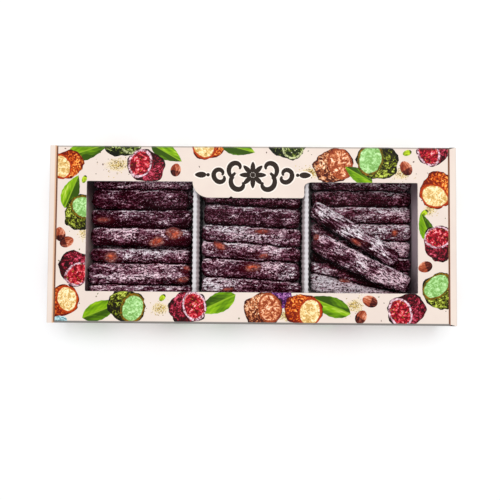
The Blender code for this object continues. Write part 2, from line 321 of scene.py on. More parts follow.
def start_tree(name, **inputs):
    """A tree and its input wires. Each input's default value gives the socket's type."""
    tree = bpy.data.node_groups.new(name, "GeometryNodeTree")
    face = tree.interface
    face.new_socket("Geometry", in_out="INPUT", socket_type="NodeSocketGeometry")
    for label, value in inputs.items():
        socket = face.new_socket(label, in_out="INPUT", socket_type=SOCKETS[type(value)])
        if value is not None:
            socket.default_value = value
    face.new_socket("Geometry", in_out="OUTPUT", socket_type="NodeSocketGeometry")
    entry = tree.nodes.new("NodeGroupInput")
    return tree, {socket.name: Wire(socket) for socket in entry.outputs if socket.name}


def end_tree(tree, shape, material):
    """Realizes what is instanced, gives it its material and sends it out."""
    real = Wire.node(tree, "GeometryNodeRealizeInstances", inputs={0: shape})
    painted = Wire.node(tree, "GeometryNodeSetMaterial", inputs={"Geometry": real, "Material": material})
    leave = tree.nodes.new("NodeGroupOutput")
    tree.links.new(painted.socket, leave.inputs[0])


def grow(piece, tree, **values):
    """Adds the tree to a piece as a modifier with these values."""
    modifier = piece.modifiers.new(tree.name, "NODES")
    modifier.node_group = tree
    for item in tree.interface.items_tree:
        if item.in_out == "INPUT" and item.name in values:
            modifier[item.identifier] = values[item.name]


def settle(piece):
    """Turns a piece with modifiers into a plain mesh."""
    bpy.context.view_layer.update()
    evaluated = piece.evaluated_get(bpy.context.evaluated_depsgraph_get())
    result = bpy.data.meshes.new_from_object(evaluated)
    piece.modifiers.clear()
    old = piece.data
    piece.data = result
    bpy.data.meshes.remove(old)
    result.name = piece.name


print("tree helpers ready")


# %% Mesh helpers
def builder_from(*meshes):
    """A bmesh that holds all of these meshes."""
    builder = bmesh.new()
    for mesh in meshes:
        builder.from_mesh(mesh)
    return builder


def mesh_from(builder, name):
    """A mesh made of a bmesh, which ends here."""
    mesh = bpy.data.meshes.new(name)
    builder.to_mesh(mesh)
    builder.free()
    return mesh


def skin_over(rings):
    """A closed bmesh over rings of points: faces between them, and a cap at each end."""
    builder = bmesh.new()
    rings = [[builder.verts.new(point) for point in ring] for ring in rings]
    for one, two in zip(rings, rings[1:]):
        for k in range(len(one)):
            j = (k + 1) % len(one)
            builder.faces.new((one[k], one[j], two[j], two[k]))
    builder.faces.new(rings[0][::-1])
    builder.faces.new(rings[-1])
    bmesh.ops.recalc_face_normals(builder, faces=builder.faces)
    return builder


def put(name, mesh):
    piece = bpy.data.objects.new(name, mesh)
    scene.collection.objects.link(piece)
    return piece


def mesh_places(mesh):
    flat = np.empty(len(mesh.vertices) * 3)
    mesh.vertices.foreach_get("co", flat)
    return flat.reshape(-1, 3)


print("mesh helpers ready")

# %% [markdown]
# ## The dusted jelly
# Each stick is dark fruit jelly rolled in starch. The starch holds in patches: the jelly
# sweats through it in dark pits, and fine grains and scratches catch the light. Patches,
# grains and scratches are separate patterns here, each at its real scale in millimetres, and
# they follow each stick's own length, so a turned stick keeps its grain. Their sum says how
# much starch lies at a place, and a ramp turns that into a colour.

# %% The pattern of the starch
jelly, tree, shader = start_material("dusted_jelly", Specular_IOR_Level=0.0)
place = attribute(tree, "stick_space")
_, _, height = place.parts()
powder = attribute(tree, "dust", out="Fac")
near_nut = attribute(tree, "nut_near", out="Fac")
seam = attribute(tree, "seam", out="Fac")
scratched = attribute(tree, "scratched", out="Fac")
_, to_back, up = Wire.node(tree, "ShaderNodeNewGeometry", out="Normal").parts()

# Places are bent a little, so that no patch is round, and squeezed, so that all lie lengthwise
warp = (grain_noise(place * (0.5, 1.0, 1.0), 0.16, 2.0, out=1) - 0.5) * 5.0
lain = (place + warp) * (0.55, 1.0, 1.0)
# Wide swings of thick and thin, long streaks, and the scratches of the rubbed sticks
drift = (grain_noise(place * (0.5, 1.0, 1.0), 0.11, 2.0) - 0.5) * 0.8
streak = grain_noise(place * (0.12, 1.0, 1.0) + warp * 0.4, 0.34, 3.0, 0.62) - 0.5
scratch = grain_noise(place * (0.16, 1.0, 1.0) + warp * 0.25, 0.62, 2.0, 0.6, 0.4) - 0.5
streak = streak * 1.1 + scratch * scratched * 3.2
# Soft patches, and grit that is coarse in some places and fine in others
body = (grain_noise(lain, 0.20, 5.0, 0.72) - 0.5) * 1.55
coarse = grain_noise(place * (0.5, 1.0, 1.0) + (50.0, 11.0, 0.0), 0.13, 2.0).smooth(0.38, 0.62) + 0.45
coarse = coarse * (1.0 - scratched * 0.35)
grit = (grain_noise(place * (0.68, 1.0, 1.0), 0.76, 2.0, 0.8, 0.7) - 0.5) * coarse * 3.7
# Dark cracks and pale veins
crack = hairlines(grain_noise(lain + (31.0, 7.0, 0.0), 0.22, 2.0, 0.6), 0.030)
vein = hairlines(grain_noise(lain + (9.0, 57.0, 0.0), 0.15, 2.0, 0.5), 0.028)

# The shoulder towards the back gets painted light and the front one painted shade. Nuts and seams hold
# less starch, and the seams get painted shade too
shoulder_light_and_shade = to_back * 0.10 + to_back.smooth(0.34, 0.62) * 0.13 - to_back.smooth(-0.30, -0.65) * 0.08
level = powder - 0.10 + drift + shoulder_light_and_shade - near_nut * 0.12 - seam.smooth(0.1, 0.6) * 0.40
lively = level.smooth(-0.1, 0.5) * 0.60 + level.smooth(0.3, 0.8) * 0.7 + 0.44
# Clumps, bright grains, dark pits and fine strokes, most where the starch is thick
clump = grain_noise(place * (0.5, 1.0, 1.0) + (3.0, 40.0, 0.0), 0.2, 4.0, 0.7).smooth(0.55, 0.70)
bright = grain_noise(place * (0.65, 1.0, 1.0) + (70.0, 2.0, 0.0), 0.7, 1.0).smooth(0.56, 0.66)
pit = grain_noise(place * (0.5, 1.0, 1.0) + (0.0, 33.0, 0.0), 0.6, 1.0).smooth(0.42, 0.33)
relief = streak + body + grit - crack * 0.30 - pit * 0.26 + bright * 0.40
stroke = grain_noise(place * (0.3, 1.0, 1.0) + warp * 0.6, 0.4, 2.0, 0.5)
stroke = hairlines(stroke, 0.045, 0.01)
relief = relief + (vein * 0.35 + clump * 0.3 + stroke * 0.75 - pit * 0.3) * level.smooth(0.22, 0.5) - 0.06
dust = level + relief * lively
print("pattern nodes:", len(tree.nodes))

# %% The jelly's colours
coat = ramp(
    dust,
    (0.04, (0.014, 0.0004, 0.0022)),
    (0.125, (0.039, 0.0038, 0.0103)),
    (0.21, (0.074, 0.0134, 0.0270)),
    (0.33, (0.147, 0.042, 0.072)),
    (0.46, (0.244, 0.099, 0.150)),
    (0.62, (0.402, 0.222, 0.290)),
    (0.79, (0.662, 0.438, 0.515)),
    (0.92, (0.940, 0.735, 0.815)),
    (1.0, (1.0, 0.870, 0.930)),
)
# Some places are redder, and what lies deep gets a redder painted shade. Round the nuts the bare
# jelly shows, nearly black. On steep sides and in the seams bare jelly and painted shade make it
# nearly black as well
redder = grain_noise(place * (0.5, 1.0, 1.0) + (12.0, 90.0, 0.0), 0.04, 1.0).smooth(0.40, 0.62)
coat = mixed(redder, coat * (0.97, 1.03, 1.02), coat * (1.03, 0.92, 0.95))
coat = mixed(height.smooth(35.0, 26.0) * dust.smooth(0.7, 0.3), coat, coat * (1.16, 0.87, 0.93))
coat = mixed(near_nut.smooth(0.15, 0.8) * dust.smooth(0.5, 0.2), coat, (0.060, 0.004, 0.008))
coat = mixed(up.smooth(0.45, 0.15) * 0.85, coat, (0.010, 0.0008, 0.003))
# In the seams and under the loose sticks the coat turns redder and then near black as painted shade, a
# little less on sides facing the back
coat = mixed(seam.smooth(0.1, 0.5), coat, coat * (1.05, 0.74, 0.80))
ragged = seam + (grain_noise(place, 0.5, 2.0) - 0.5) * 0.4 - to_back.smooth(0.1, 0.5) * 0.10
coat = mixed(ragged.smooth(0.42, 0.70) * 0.95, coat, (0.008, 0.0004, 0.0015))
plug(
    shader,
    Base_Color=coat,
    Roughness=dust * 0.3 + 0.5,
    Normal=bumped(relief, 0.45 * MM, 0.9),
)
print("jelly nodes:", len(tree.nodes))

# %% [markdown]
# ## Sticks
# The solids are plain skins with flat sides. A real stick is soft: it sags, wrinkles and
# takes the shape of its neighbours. Each solid is copied, rebuilt as a fine even grid,
# smoothed, and then pushed in and out by noise at three sizes. The push follows a rule, so
# Geometry Nodes do it, and store each point's place along the stick for the material. Before
# that, the ends and sides that press on a neighbour are moved towards it.

# %% The skin's tree
skin_tree, ins = start_tree(
    "jelly_skin",
    Material=None,
    Centre=(0.0, 0.0, 0.0),
    Turn=0.0,
    Seed=0.0,
    Swell=0.0,
    Lump=0.0,
    Wrinkle=0.0,
    Fold=0.0,
)
here = Wire.node(skin_tree, "GeometryNodeInputPosition")
facing = Wire.node(skin_tree, "GeometryNodeInputNormal")
turned = Wire.node(
    skin_tree,
    "ShaderNodeVectorRotate",
    {"rotation_type": "Z_AXIS"},
    {"Vector": here - ins["Centre"], "Angle": ins["Turn"] * -1.0},
)
own_place = turned * 1000.0 + combined(ins["Seed"], ins["Seed"] * 0.37, 0.0)
stored = Wire.node(
    skin_tree,
    "GeometryNodeStoreNamedAttribute",
    {"data_type": "FLOAT_VECTOR", "domain": "POINT"},
    {"Geometry": ins["Geometry"], "Name": "stick_space", "Value": own_place},
)
lump = grain_noise(own_place * (0.7, 1.0, 1.0), 0.09, 2.0) - 0.5
wrinkle = grain_noise(own_place * (0.4, 1.0, 1.0), 0.3, 3.0, 0.6) - 0.5
fold = hairlines(grain_noise(own_place * (0.22, 1.0, 1.0), 0.16, 2.0), 0.05)
push = ins["Swell"] + lump * ins["Lump"] + wrinkle * ins["Wrinkle"] - fold * ins["Fold"]
moved = Wire.node(
    skin_tree, "GeometryNodeSetPosition", inputs={"Geometry": stored, "Offset": facing * push}
)
smooth = Wire.node(skin_tree, "GeometryNodeSetShadeSmooth", inputs={"Geometry": moved})
end_tree(skin_tree, smooth, ins["Material"])
print("skin tree nodes:", len(skin_tree.nodes))

# %% [markdown]
# ## Each stick's own marks
# No two sticks are alike. Some press harder on their neighbours, starch lies thick or thin in
# patches, and nuts break through the skin. Such marks are short tables of places and amounts
# here, in millimetres, because a table is easy to correct.

# %% Which sticks show, and how they press on their neighbours
IN_VIEW = {"left": range(2, 9), "middle": range(3, 9), "right": range(2, 10), "loose": range(1, 3)}
LOOSE = {1: ((99.9 * MM, 2.5 * MM, 0.0), -32.0), 2: ((105.7 * MM, -24.8 * MM, 0.0), -25.9)}

# How far an end reaches past its solid, in millimetres along X: left end, right end
ENDS = {
    "left_3": (0.0, -2.4),
    "left_4": (-1.2, 0.0),
    "left_6": (-0.8, 0.0),
    "left_7": (-3.0, 0.0),
    "left_8": (-3.0, 0.0),
    **{f"middle_{number}": (-0.5, 0.5) for number in range(3, 9)},
    **{f"right_{number}": (1.6, 0.9) for number in range(2, 10)},
}
# How far a side sags against the next stick: amount along Y, between two places along X
SAGS = {"right_8": (-5.5, 84, 112), "right_7": (-1.5, 84, 112)}
# The push fades out over so much of a stick's length in millimetres, and of its side
END_REACH = 18.0
SIDE_REACH = 7.0 * MM
print("sticks in view:", sum(len(numbers) for numbers in IN_VIEW.values()))

# %% Where starch lies thick or thin
# Patches on a stick, in millimetres: x, y, reach along, reach across, and how much more starch
PATCHES = {
    "left_2": ((-85, 54, 30, 9, 0.18), (-140, 54, 20, 9, -0.12)),
    "left_3": ((-78, 34, 24, 12, 0.15), (-138, 34, 30, 12, 0.06)),
    "left_4": ((-100, 19, 44, 5, 0.12), (-70, 9, 10, 3, -0.14), (-148, 12, 8, 6, -0.05)),
    "left_5": (
        (-122, 0, 20, 6, 0.12),
        (-70, -8, 20, 5, -0.16),
        (-120, -10, 30, 3, -0.2),
        (-148, 0, 9, 9, -0.14),
    ),
    "left_6": ((-105, -18, 24, 7, 0.12), (-150, -19, 8, 8, -0.12)),
    "left_7": ((-115, -41, 45, 3, 0.30), (-100, -34, 50, 8, 0.03), (-149, -34, 9, 9, -0.10)),
    "middle_3": ((0, 37, 50, 6, 0.06),),
    "middle_4": ((-32, 22, 18, 8, -0.02), (30, 16, 30, 9, -0.05)),
    "middle_5": ((-2, 0, 26, 8, 0.21), (38, 4, 10, 8, -0.12)),
    "middle_6": (
        (5, -8, 45, 2.5, 0.21),
        (-5, -18, 14, 5, -0.24),
        (38, -20, 12, 5, -0.3),
        (-28, -14, 14, 6, -0.14),
    ),
    "middle_7": ((-40, -26, 16, 3, 0.18), (-15, -33, 16, 5, -0.18), (25, -33, 18, 8, 0.09)),
    "middle_8": ((-34, -47, 14, 8, 0.33), (22, -50, 34, 8, -0.15)),
    "right_2": ((105, 53, 50, 6, -0.06),),
    "right_4": ((132, 24, 8, 5, 0.18), (95, 22, 40, 8, -0.06)),
    "right_5": ((115, 8, 20, 8, 0.06), (150, 8, 14, 8, 0.03)),
    "right_6": ((150, -10, 14, 6, 0.12),),
    "right_7": ((150, -27, 16, 8, -0.2), (62, -27, 14, 6, 0.12)),
    "right_8": ((70, -34, 20, 5, 0.12),),
    "right_9": ((75, -49, 24, 9, 0.16), (105, -52, 20, 6, 0.16)),
    "loose_1": (
        (70, 22, 9, 6, 0.45),
        (74, 12, 9, 4, -0.20),
        (96, 5, 8, 4, 0.62),
        (94, 13, 6, 3, -0.16),
        (106, 2, 5, 3, 0.30),
        (118, -7, 12, 5, 0.20),
    ),
    "loose_2": (
        (90, -10, 12, 4, 0.20),
        (106, -19, 7, 7, 0.20),
        (116, -29, 4, 9, -0.24),
        (130, -40, 14, 5, 0.42),
        (138, -33, 14, 3, -0.30),
        (88, -21, 11, 4, -0.34),
        (72, -9, 10, 5, -0.30),
        (68, 4, 7, 3, -0.25),
    ),
}
# How much a stick is scratched lengthwise, where it was rubbed as it was laid on top
SCRATCHED = {
    "loose_1": 1.0,
    "loose_2": 0.65,
    "right_9": 0.4,
    "middle_8": 0.4,
    "left_7": 0.3,
    "middle_6": 0.3,
}
# How much starch lies on each stick all over, from the first row to the last
STARCH_SHARE = {
    "left": (0.40, 0.40, 0.18, 0.20, 0.41, 0.36, 0.38, 0.35, 0.40),
    "middle": (0.30, 0.33, 0.28, 0.33, 0.39, 0.54, 0.38, 0.36, 0.36),
    "right": (0.30, 0.48, 0.27, 0.45, 0.55, 0.60, 0.47, 0.41, 0.83, 0.40),
    "loose": (0.39, 0.50),
}
HIDDEN_SHARE = 0.3
print("patches:", sum(len(spots) for spots in PATCHES.values()))

# %% Where nuts break through
# Stick, x and y in millimetres, length, width, turn in degrees, and how warm its colour is
NUTS = (
    ("left_4", -143.0, 13.9, 15.0, 5.5, 0, 0.35),
    ("left_5", -75.0, 1.0, 18.0, 13.0, -10, 1.0),
    ("left_5", -90.8, -6.4, 18.0, 10.5, 15, 0.85),
    ("left_6", -135.5, -21.8, 15.0, 11.5, 5, 0.7),
    ("left_7", -62.8, -32.6, 9.0, 7.0, 0, 0.15),
    ("left_7", -66.0, -43.0, 12.0, 6.5, 5, 0.2),
    ("middle_5", 9.7, 3.6, 17.0, 6.0, 0, 0.3),
    ("middle_6", -30.6, -10.6, 15.0, 8.5, -25, 0.65),
    ("middle_6", 11.4, -19.6, 12.0, 6.0, 10, 0.1),
    ("middle_7", 0.6, -31.0, 18.0, 8.5, 5, 1.0),
    ("middle_8", -22.5, -51.6, 15.0, 6.0, 5, 0.1),
    ("right_5", 142.2, 4.6, 8.0, 8.5, 0, 0.6),
    ("right_9", 92.6, -44.4, 14.0, 7.5, -10, 0.3),
    ("loose_1", 101.0, -5.6, 16.0, 5.5, -32, 0.4),
    ("loose_2", 63.4, -1.8, 9.0, 8.0, -30, 0.15),
)
print("nuts:", len(NUTS))


# %% Copy a solid and press it
def fresh_copy(node_name, name):
    """A CAD node's mesh with its loose triangles merged, in a new object."""
    builder = builder_from(nodes[node_name].data)
    bmesh.ops.remove_doubles(builder, verts=builder.verts, dist=1e-6)
    return put(name, mesh_from(builder, name))


def step_up(values, low, high):
    t = np.clip((values - low) / (high - low), 0.0, 1.0)
    return t * t * (3.0 - 2.0 * t)


def press(mesh, key):
    """Moves a stick's ends and its front side, as soft jelly gives between its neighbours."""
    places = mesh_places(mesh)
    x = places[:, 0] / MM
    left, right = ENDS.get(key, (0.0, 0.0))
    places[:, 0] += left * MM * step_up(-x, -x.min() - END_REACH, -x.min())
    places[:, 0] += right * MM * step_up(x, x.max() - END_REACH, x.max())
    amount, start, full = SAGS.get(key, (0.0, 0.0, 1.0))
    slope, middle = np.polyfit(x, places[:, 1], 1)
    below = step_up(slope * x + middle - places[:, 1], 0.0, SIDE_REACH)
    places[:, 1] += amount * MM * below * step_up(x, start, full)
    mesh.vertices.foreach_set("co", places.ravel())


def falling_off(places, x, y, reach_x, reach_y):
    """1 at the middle of an oval patch and 0 well outside it, for each place."""
    away_x = (places[:, 0] - x * MM) / (reach_x * MM)
    away_y = (places[:, 1] - y * MM) / (reach_y * MM)
    return np.exp(-(away_x**2 + away_y**2))


def keep_number(mesh, name, values):
    layer = mesh.attributes.new(name, "FLOAT", "POINT")
    layer.data.foreach_set("value", np.asarray(values, np.float32))


print("pressed ends:", len(ENDS), "pressed sides:", len(SAGS))


# %% Make one stick
FINE_GRID, COARSE_GRID = 0.75 * MM, 1.7 * MM


def make_stick(kind, number, chance):
    key = f"{kind}_{number}"
    shows = number in IN_VIEW.get(kind, ())
    node_name = ("" if kind.startswith("bed") else "stick_") + key
    piece = fresh_copy(node_name, "delight_" + key)
    press(piece.data, key)
    remesh = piece.modifiers.new("even_grid", "REMESH")
    remesh.mode = "VOXEL"
    remesh.voxel_size = FINE_GRID if shows else COARSE_GRID
    soften = piece.modifiers.new("soften", "SMOOTH")
    soften.factor = 0.5
    soften.iterations = 4 if shows else 2
    centre, turn = LOOSE[number] if kind == "loose" else ((0.0, 0.0, 0.0), 0.0)
    grow(
        piece,
        skin_tree,
        Material=jelly,
        Centre=centre,
        Turn=math.radians(turn),
        Seed=chance.uniform(0, 900),
        Swell=(0.35 if kind == "loose" else 0.7) * MM,
        Lump=4.0 * MM,
        Wrinkle=2.4 * MM,
        Fold=0.9 * MM,
    )
    settle(piece)
    places = mesh_places(piece.data)
    share = STARCH_SHARE[kind][number - 1] if kind in STARCH_SHARE else HIDDEN_SHARE
    powder = np.full(len(places), share)
    along = places @ np.array((math.cos(math.radians(turn)), math.sin(math.radians(turn)), 0.0))
    from_end = np.minimum(along - along.min(), along.max() - along)
    # The colour is darker near each end
    powder -= 0.14 * np.exp(-((from_end / (3.5 * MM)) ** 2))
    for x, y, reach_x, reach_y, more in PATCHES.get(key, ()):
        powder += more * falling_off(places, x, y, reach_x, reach_y)
    near = np.zeros(len(places))
    for stick, x, y, length, width, *_ in NUTS:
        if stick == key:
            near = np.maximum(near, falling_off(places, x, y, length * 0.75, width * 0.75))
    keep_number(piece.data, "dust", powder)
    keep_number(piece.data, "nut_near", near)
    keep_number(piece.data, "scratched", np.full(len(places), SCRATCHED.get(key, 0.0)))
    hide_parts(node_name)
    return piece


# %% Make every stick
ROWS = {"left": 9, "middle": 9, "right": 10, "loose": 2, "bed_left": 9, "bed_middle": 9}
chance = random.Random(23)
sticks = {
    f"{kind}_{number}": make_stick(kind, number, chance)
    for kind, count in ROWS.items()
    for number in range(1, count + 1)
}
print("sticks:", len(sticks), "points:", sum(len(s.data.vertices) for s in sticks.values()))

# %% [markdown]
# ## Seams
# Where two sticks press together, their juice gathers and no starch holds, so a dark line runs
# along each seam, darkened further with painted shade. For each point near another stick, the
# distance to that stick's skin is measured and kept for the material. Below the loose sticks the
# reach is longer, for the painted shadow they cast.

# %% Measure how near the next stick is
SEAM_REACH = 2.0 * MM
SHADE_REACH = 9.0 * MM
SHADE_SHIFT = 3.0 * MM


def skin_faces(piece):
    builder = builder_from(piece.data)
    faces = BVHTree.FromBMesh(builder)
    builder.free()
    return faces


def seam_shade_nearness(key):
    """1 where the skin touches another stick, falling to 0 at its reach. Painted shade falls forwards."""
    near = np.zeros(len(spots[key]))
    for other, faces in skins.items():
        lies_over = other.startswith("loose") and not key.startswith("loose")
        reach = SHADE_REACH if lies_over else SEAM_REACH
        places = spots[key] + (0.0, SHADE_SHIFT if lies_over else 0.0, 0.0)
        low = spots[other].min(axis=0) - reach
        high = spots[other].max(axis=0) + reach
        close = np.all((places > low) & (places < high), axis=1) & (other != key)
        for index in np.flatnonzero(close):
            away = faces.find_nearest(Vector(places[index]), reach)[3]
            if away is not None:
                near[index] = max(near[index], 1.0 - away / reach)
    return near


skins = {key: skin_faces(piece) for key, piece in sticks.items()}
spots = {key: mesh_places(piece.data) for key, piece in sticks.items()}
for kind, numbers in IN_VIEW.items():
    for number in numbers:
        key = f"{kind}_{number}"
        keep_number(sticks[key].data, "seam", seam_shade_nearness(key))
print("seams measured on", sum(len(numbers) for numbers in IN_VIEW.values()), "sticks")

# %% [markdown]
# ## Nuts
# Hazelnut halves break through the skin. Each is a kernel of its own, an oval with shallow
# ridges along it, sunk so that only its crown shows. A ray from above finds the skin's height
# there.

# %% The kernel's material
kernel, tree, shader = start_material("roasted_kernel", Roughness=0.5, Specular_IOR_Level=0.3)
place = attribute(tree, "kernel_space")
warmth = attribute(tree, "warmth", out="Fac")
crown = attribute(tree, "crown", out="Fac")
streak = grain_noise(place * (0.3, 1.0, 1.0), 0.6, 3.0, 0.6)
blotch = grain_noise(place, 0.24, 2.0)
tone = streak * 0.6 + blotch * 0.4
cool = ramp(
    tone,
    (0.38, (0.06, 0.001, 0.002)),
    (0.52, (0.20, 0.010, 0.005)),
    (0.68, (0.46, 0.085, 0.055)),
)
warm = ramp(
    tone,
    (0.38, (0.07, 0.003, 0.002)),
    (0.46, (0.21, 0.012, 0.003)),
    (0.57, (0.52, 0.055, 0.004)),
    (0.70, (0.84, 0.19, 0.04)),
)
skin = mixed(warmth, cool, warm)
# The rim is darker, pale lines of painted highlight keep off the crown's middle, chalky specks
# lie all over, and jelly covers the ragged edge
skin = mixed((crown + streak * 0.3).smooth(0.60, 0.95) * 0.75, skin, (0.11, 0.006, 0.005))
ragged = crown + (grain_noise(place, 0.24, 3.0, 0.75) - 0.5) * 2.2
sweat = mixed(grain_noise(place, 0.6, 2.0).smooth(0.45, 0.62), (0.05, 0.003, 0.006), (0.15, 0.040, 0.055))
rim_glint = hairlines(grain_noise(place + (17.0, 3.0, 0.0), 0.20, 2.0), 0.05) * crown.smooth(0.25, 0.75)
skin = mixed(rim_glint * 0.38, skin, (0.80, 0.42, 0.36))
chalk = grain_noise(place, 0.7, 2.0, 0.7).smooth(0.62, 0.70)
skin = mixed(chalk * 0.5, skin, (0.86, 0.60, 0.58))
plug(
    shader,
    Base_Color=mixed(ragged.smooth(0.94, 1.06), skin, sweat),
    Normal=bumped(streak, 0.6 * MM, 0.8),
)
print("kernel nodes:", len(tree.nodes))

# %% Sink the kernels into their sticks
KERNEL_HEIGHT = 6.0 * MM
KERNEL_RISE = 1.25 * MM
CROWN_SHARE = 0.82


def make_kernel(builder, layers, spec, seed):
    stick, x, y, length, width, angle, warmth = spec
    hit = skins[stick].ray_cast(Vector((x * MM, y * MM, 0.1)), Vector((0, 0, -1)))[0]
    made = bmesh.ops.create_icosphere(builder, subdivisions=4, radius=1.0)["verts"]
    half = Vector((length * MM / 2, width * MM / 2, KERNEL_HEIGHT / 2))
    turn = Matrix.Rotation(math.radians(angle), 3, "Z")
    for vert in made:
        unit = vert.co.copy()
        probe = Vector((unit.x * 0.8, unit.y * 3.0, unit.z * 3.0 + seed))
        size = 1.0 + 0.09 * noise.noise(probe) + 0.05 * noise.noise(unit * 4.0 + Vector((seed, 0, 0)))
        local = Vector((unit.x * half.x, unit.y * half.y, unit.z * half.z)) * size
        vert[layers["space"]] = Vector(local / MM) + Vector((seed * 9.0, 0, 0))
        vert[layers["warmth"]] = warmth
        vert[layers["crown"]] = math.hypot(unit.x, unit.y) / CROWN_SHARE if unit.z > 0 else 1.5
        vert.co = turn @ local + hit + Vector((0, 0, KERNEL_RISE - half.z))


builder = bmesh.new()
layers = dict(
    space=builder.verts.layers.float_vector.new("kernel_space"),
    warmth=builder.verts.layers.float.new("warmth"),
    crown=builder.verts.layers.float.new("crown"),
)
for index, spec in enumerate(NUTS):
    make_kernel(builder, layers, spec, 3.7 * index)
mesh = mesh_from(builder, "nut_kernels")
mesh.shade_smooth()
mesh.materials.append(kernel)
kernels = put("nut_kernels", mesh)
print("kernels:", len(NUTS), "faces:", len(mesh.polygons))

# %% [markdown]
# ## Loose starch
# Coarse grains of starch lie on the sticks' upper sides, most where the dust is thick, and none
# in the dark seams. They are far too many to place by hand, so Geometry Nodes scatter them:
# random points on the upper faces, a small rough grain on each, turned and sized at random.

# %% Starch grains
starch, tree, shader = start_material("starch_grain", Roughness=0.9)
tint = grain_noise(object_place(tree), 0.3, 2.0)
plug(shader, Base_Color=mixed(tint, (0.24, 0.12, 0.17), (0.62, 0.44, 0.51)))

grain_tree, ins = start_tree(
    "starch_scatter", Material=None, Density=1.0, Smallest=0.1, Largest=0.3, Seed=1
)
up = Wire.node(grain_tree, "GeometryNodeInputNormal").parts()[2]
thick, near_nut, seam, where = (
    Wire.node(grain_tree, "GeometryNodeInputNamedAttribute", {"data_type": kind}, {"Name": name})
    for name, kind in (
        ("dust", "FLOAT"),
        ("nut_near", "FLOAT"),
        ("seam", "FLOAT"),
        ("stick_space", "FLOAT_VECTOR"),
    )
)
drift = grain_noise(where * (0.5, 1.0, 1.0), 0.3, 3.0, 0.6).smooth(0.42, 0.66)
share = up.smooth(0.35, 0.8) * (thick - 0.26) * (drift + 0.05) * (1.0 - near_nut * 0.9) * 2.4
share = share * seam.smooth(0.45, 0.1)
points = Wire.node(
    grain_tree,
    "GeometryNodeDistributePointsOnFaces",
    {"distribute_method": "RANDOM"},
    {"Mesh": ins["Geometry"], "Density": ins["Density"] * share, "Seed": ins["Seed"]},
)
grain = Wire.node(grain_tree, "GeometryNodeMeshIcoSphere", inputs={"Radius": 1.0, "Subdivisions": 1})
turn = Wire.node(
    grain_tree,
    "FunctionNodeRandomValue",
    {"data_type": "FLOAT_VECTOR"},
    {0: (0.0, 0.0, 0.0), 1: (6.28, 6.28, 6.28), "Seed": ins["Seed"]},
)
size = Wire.node(
    grain_tree,
    "FunctionNodeRandomValue",
    {"data_type": "FLOAT"},
    {2: ins["Smallest"], 3: ins["Largest"], "Seed": ins["Seed"]},
    out=1,
)
shape = combined(size, size * 1.5, size * 0.8)
laid = Wire.node(
    grain_tree,
    "GeometryNodeInstanceOnPoints",
    inputs={"Points": points, "Instance": grain, "Rotation": turn, "Scale": shape},
)
end_tree(grain_tree, laid, ins["Material"])
print("starch tree nodes:", len(grain_tree.nodes))

# %% Scatter starch over the sticks that show
STICK_NOTES = ("stick_space", "dust", "nut_near", "scratched", "seam")


def scatter_starch(kind, seed):
    made = []
    for number in IN_VIEW[kind]:
        stick = sticks[f"{kind}_{number}"]
        grains = put("grains", stick.data.copy())
        grow(
            grains,
            grain_tree,
            Material=starch,
            Density=480000.0,
            Smallest=0.16 * MM,
            Largest=0.42 * MM,
            Seed=seed + number,
        )
        settle(grains)
        made.append(grains.data)
        bpy.data.objects.remove(grains)
    joined = mesh_from(builder_from(*made), "starch_on_" + kind)
    for mesh in made:
        bpy.data.meshes.remove(mesh)
    for extra in [a.name for a in joined.attributes if a.name in STICK_NOTES]:
        joined.attributes.remove(joined.attributes[extra])
    joined.materials.clear()
    joined.materials.append(starch)
    return put("starch_on_" + kind, joined)


starch_pieces = [scatter_starch(kind, 40 * i + 7) for i, kind in enumerate(IN_VIEW)]
print("starch faces:", [len(p.data.polygons) for p in starch_pieces])

# %% [markdown]
# ## Dividers of fluted paper
# A divider is one wall of thick white paper pressed into upright flutes. The flutes repeat, so
# Geometry Nodes press them: the wall starts as a slab with a soft rounded top, and its sides
# move in and out in a wave along it. Below its top the wall leans a little to one side.

# %% The paper's material
paper, tree, shader = start_material("fluted_paper", Roughness=0.85)
place = object_place(tree)
fibre = grain_noise(place * (1.0, 1.0, 0.35), 1.6, 4.0, 0.7)
cloud = grain_noise(place, 0.12, 2.0)
top = Wire.node(tree, "ShaderNodeNewGeometry", out="Normal").parts()[2].smooth(0.15, 0.7)
# The top is whitest and the sides are duller, as painted shade, and low down the paper is painted near
# black with a red tint, as painted shade
white = mixed(cloud, (0.66, 0.63, 0.65), (0.76, 0.73, 0.75))
white = mixed(top, (0.53, 0.44, 0.455), white)
height = place.parts()[2]
white = mixed(height.smooth(34.0, 29.5), white, (0.020, 0.004, 0.006))
plug(
    shader,
    Base_Color=mixed(fibre.smooth(0.62, 0.8) * 0.35, white, (0.55, 0.48, 0.52)),
    Normal=bumped(fibre, 0.2 * MM, 0.6),
)
print("paper nodes:", len(tree.nodes))

# %% The tree that presses the flutes
FLUTE_PITCH, FLUTE_DEPTH = 4.9 * MM, 0.7 * MM
LEAN = 1.9 * MM
flute_tree, ins = start_tree(
    "press_flutes", Material=None, Pitch=1.0, Depth=0.1, Middle=0.0, Top=0.0, Lean=0.0
)
here = Wire.node(flute_tree, "GeometryNodeInputPosition")
x, y, z = here.parts()
wave = (y * (2 * math.pi) / ins["Pitch"]).reckon("COSINE")
side = ((x - ins["Middle"]) * 1000.0).smooth(-1.0, 1.0) * 2.0 - 1.0
crumple = (grain_noise(here * 1000.0, 0.25, 2.0) - 0.5) * (0.5 * MM)
lean = (ins["Top"] - z).smooth(0.0, 0.009) * ins["Lean"]
flute = side * (wave - 1.0) * ins["Depth"] * 0.5
shift = combined(flute + lean + crumple, 0.0, crumple * 0.6 - 0.3 * MM)
pressed = Wire.node(
    flute_tree, "GeometryNodeSetPosition", inputs={"Geometry": ins["Geometry"], "Offset": shift}
)
smooth = Wire.node(flute_tree, "GeometryNodeSetShadeSmooth", inputs={"Geometry": pressed})
end_tree(flute_tree, smooth, ins["Material"])
print("flute tree nodes:", len(flute_tree.nodes))


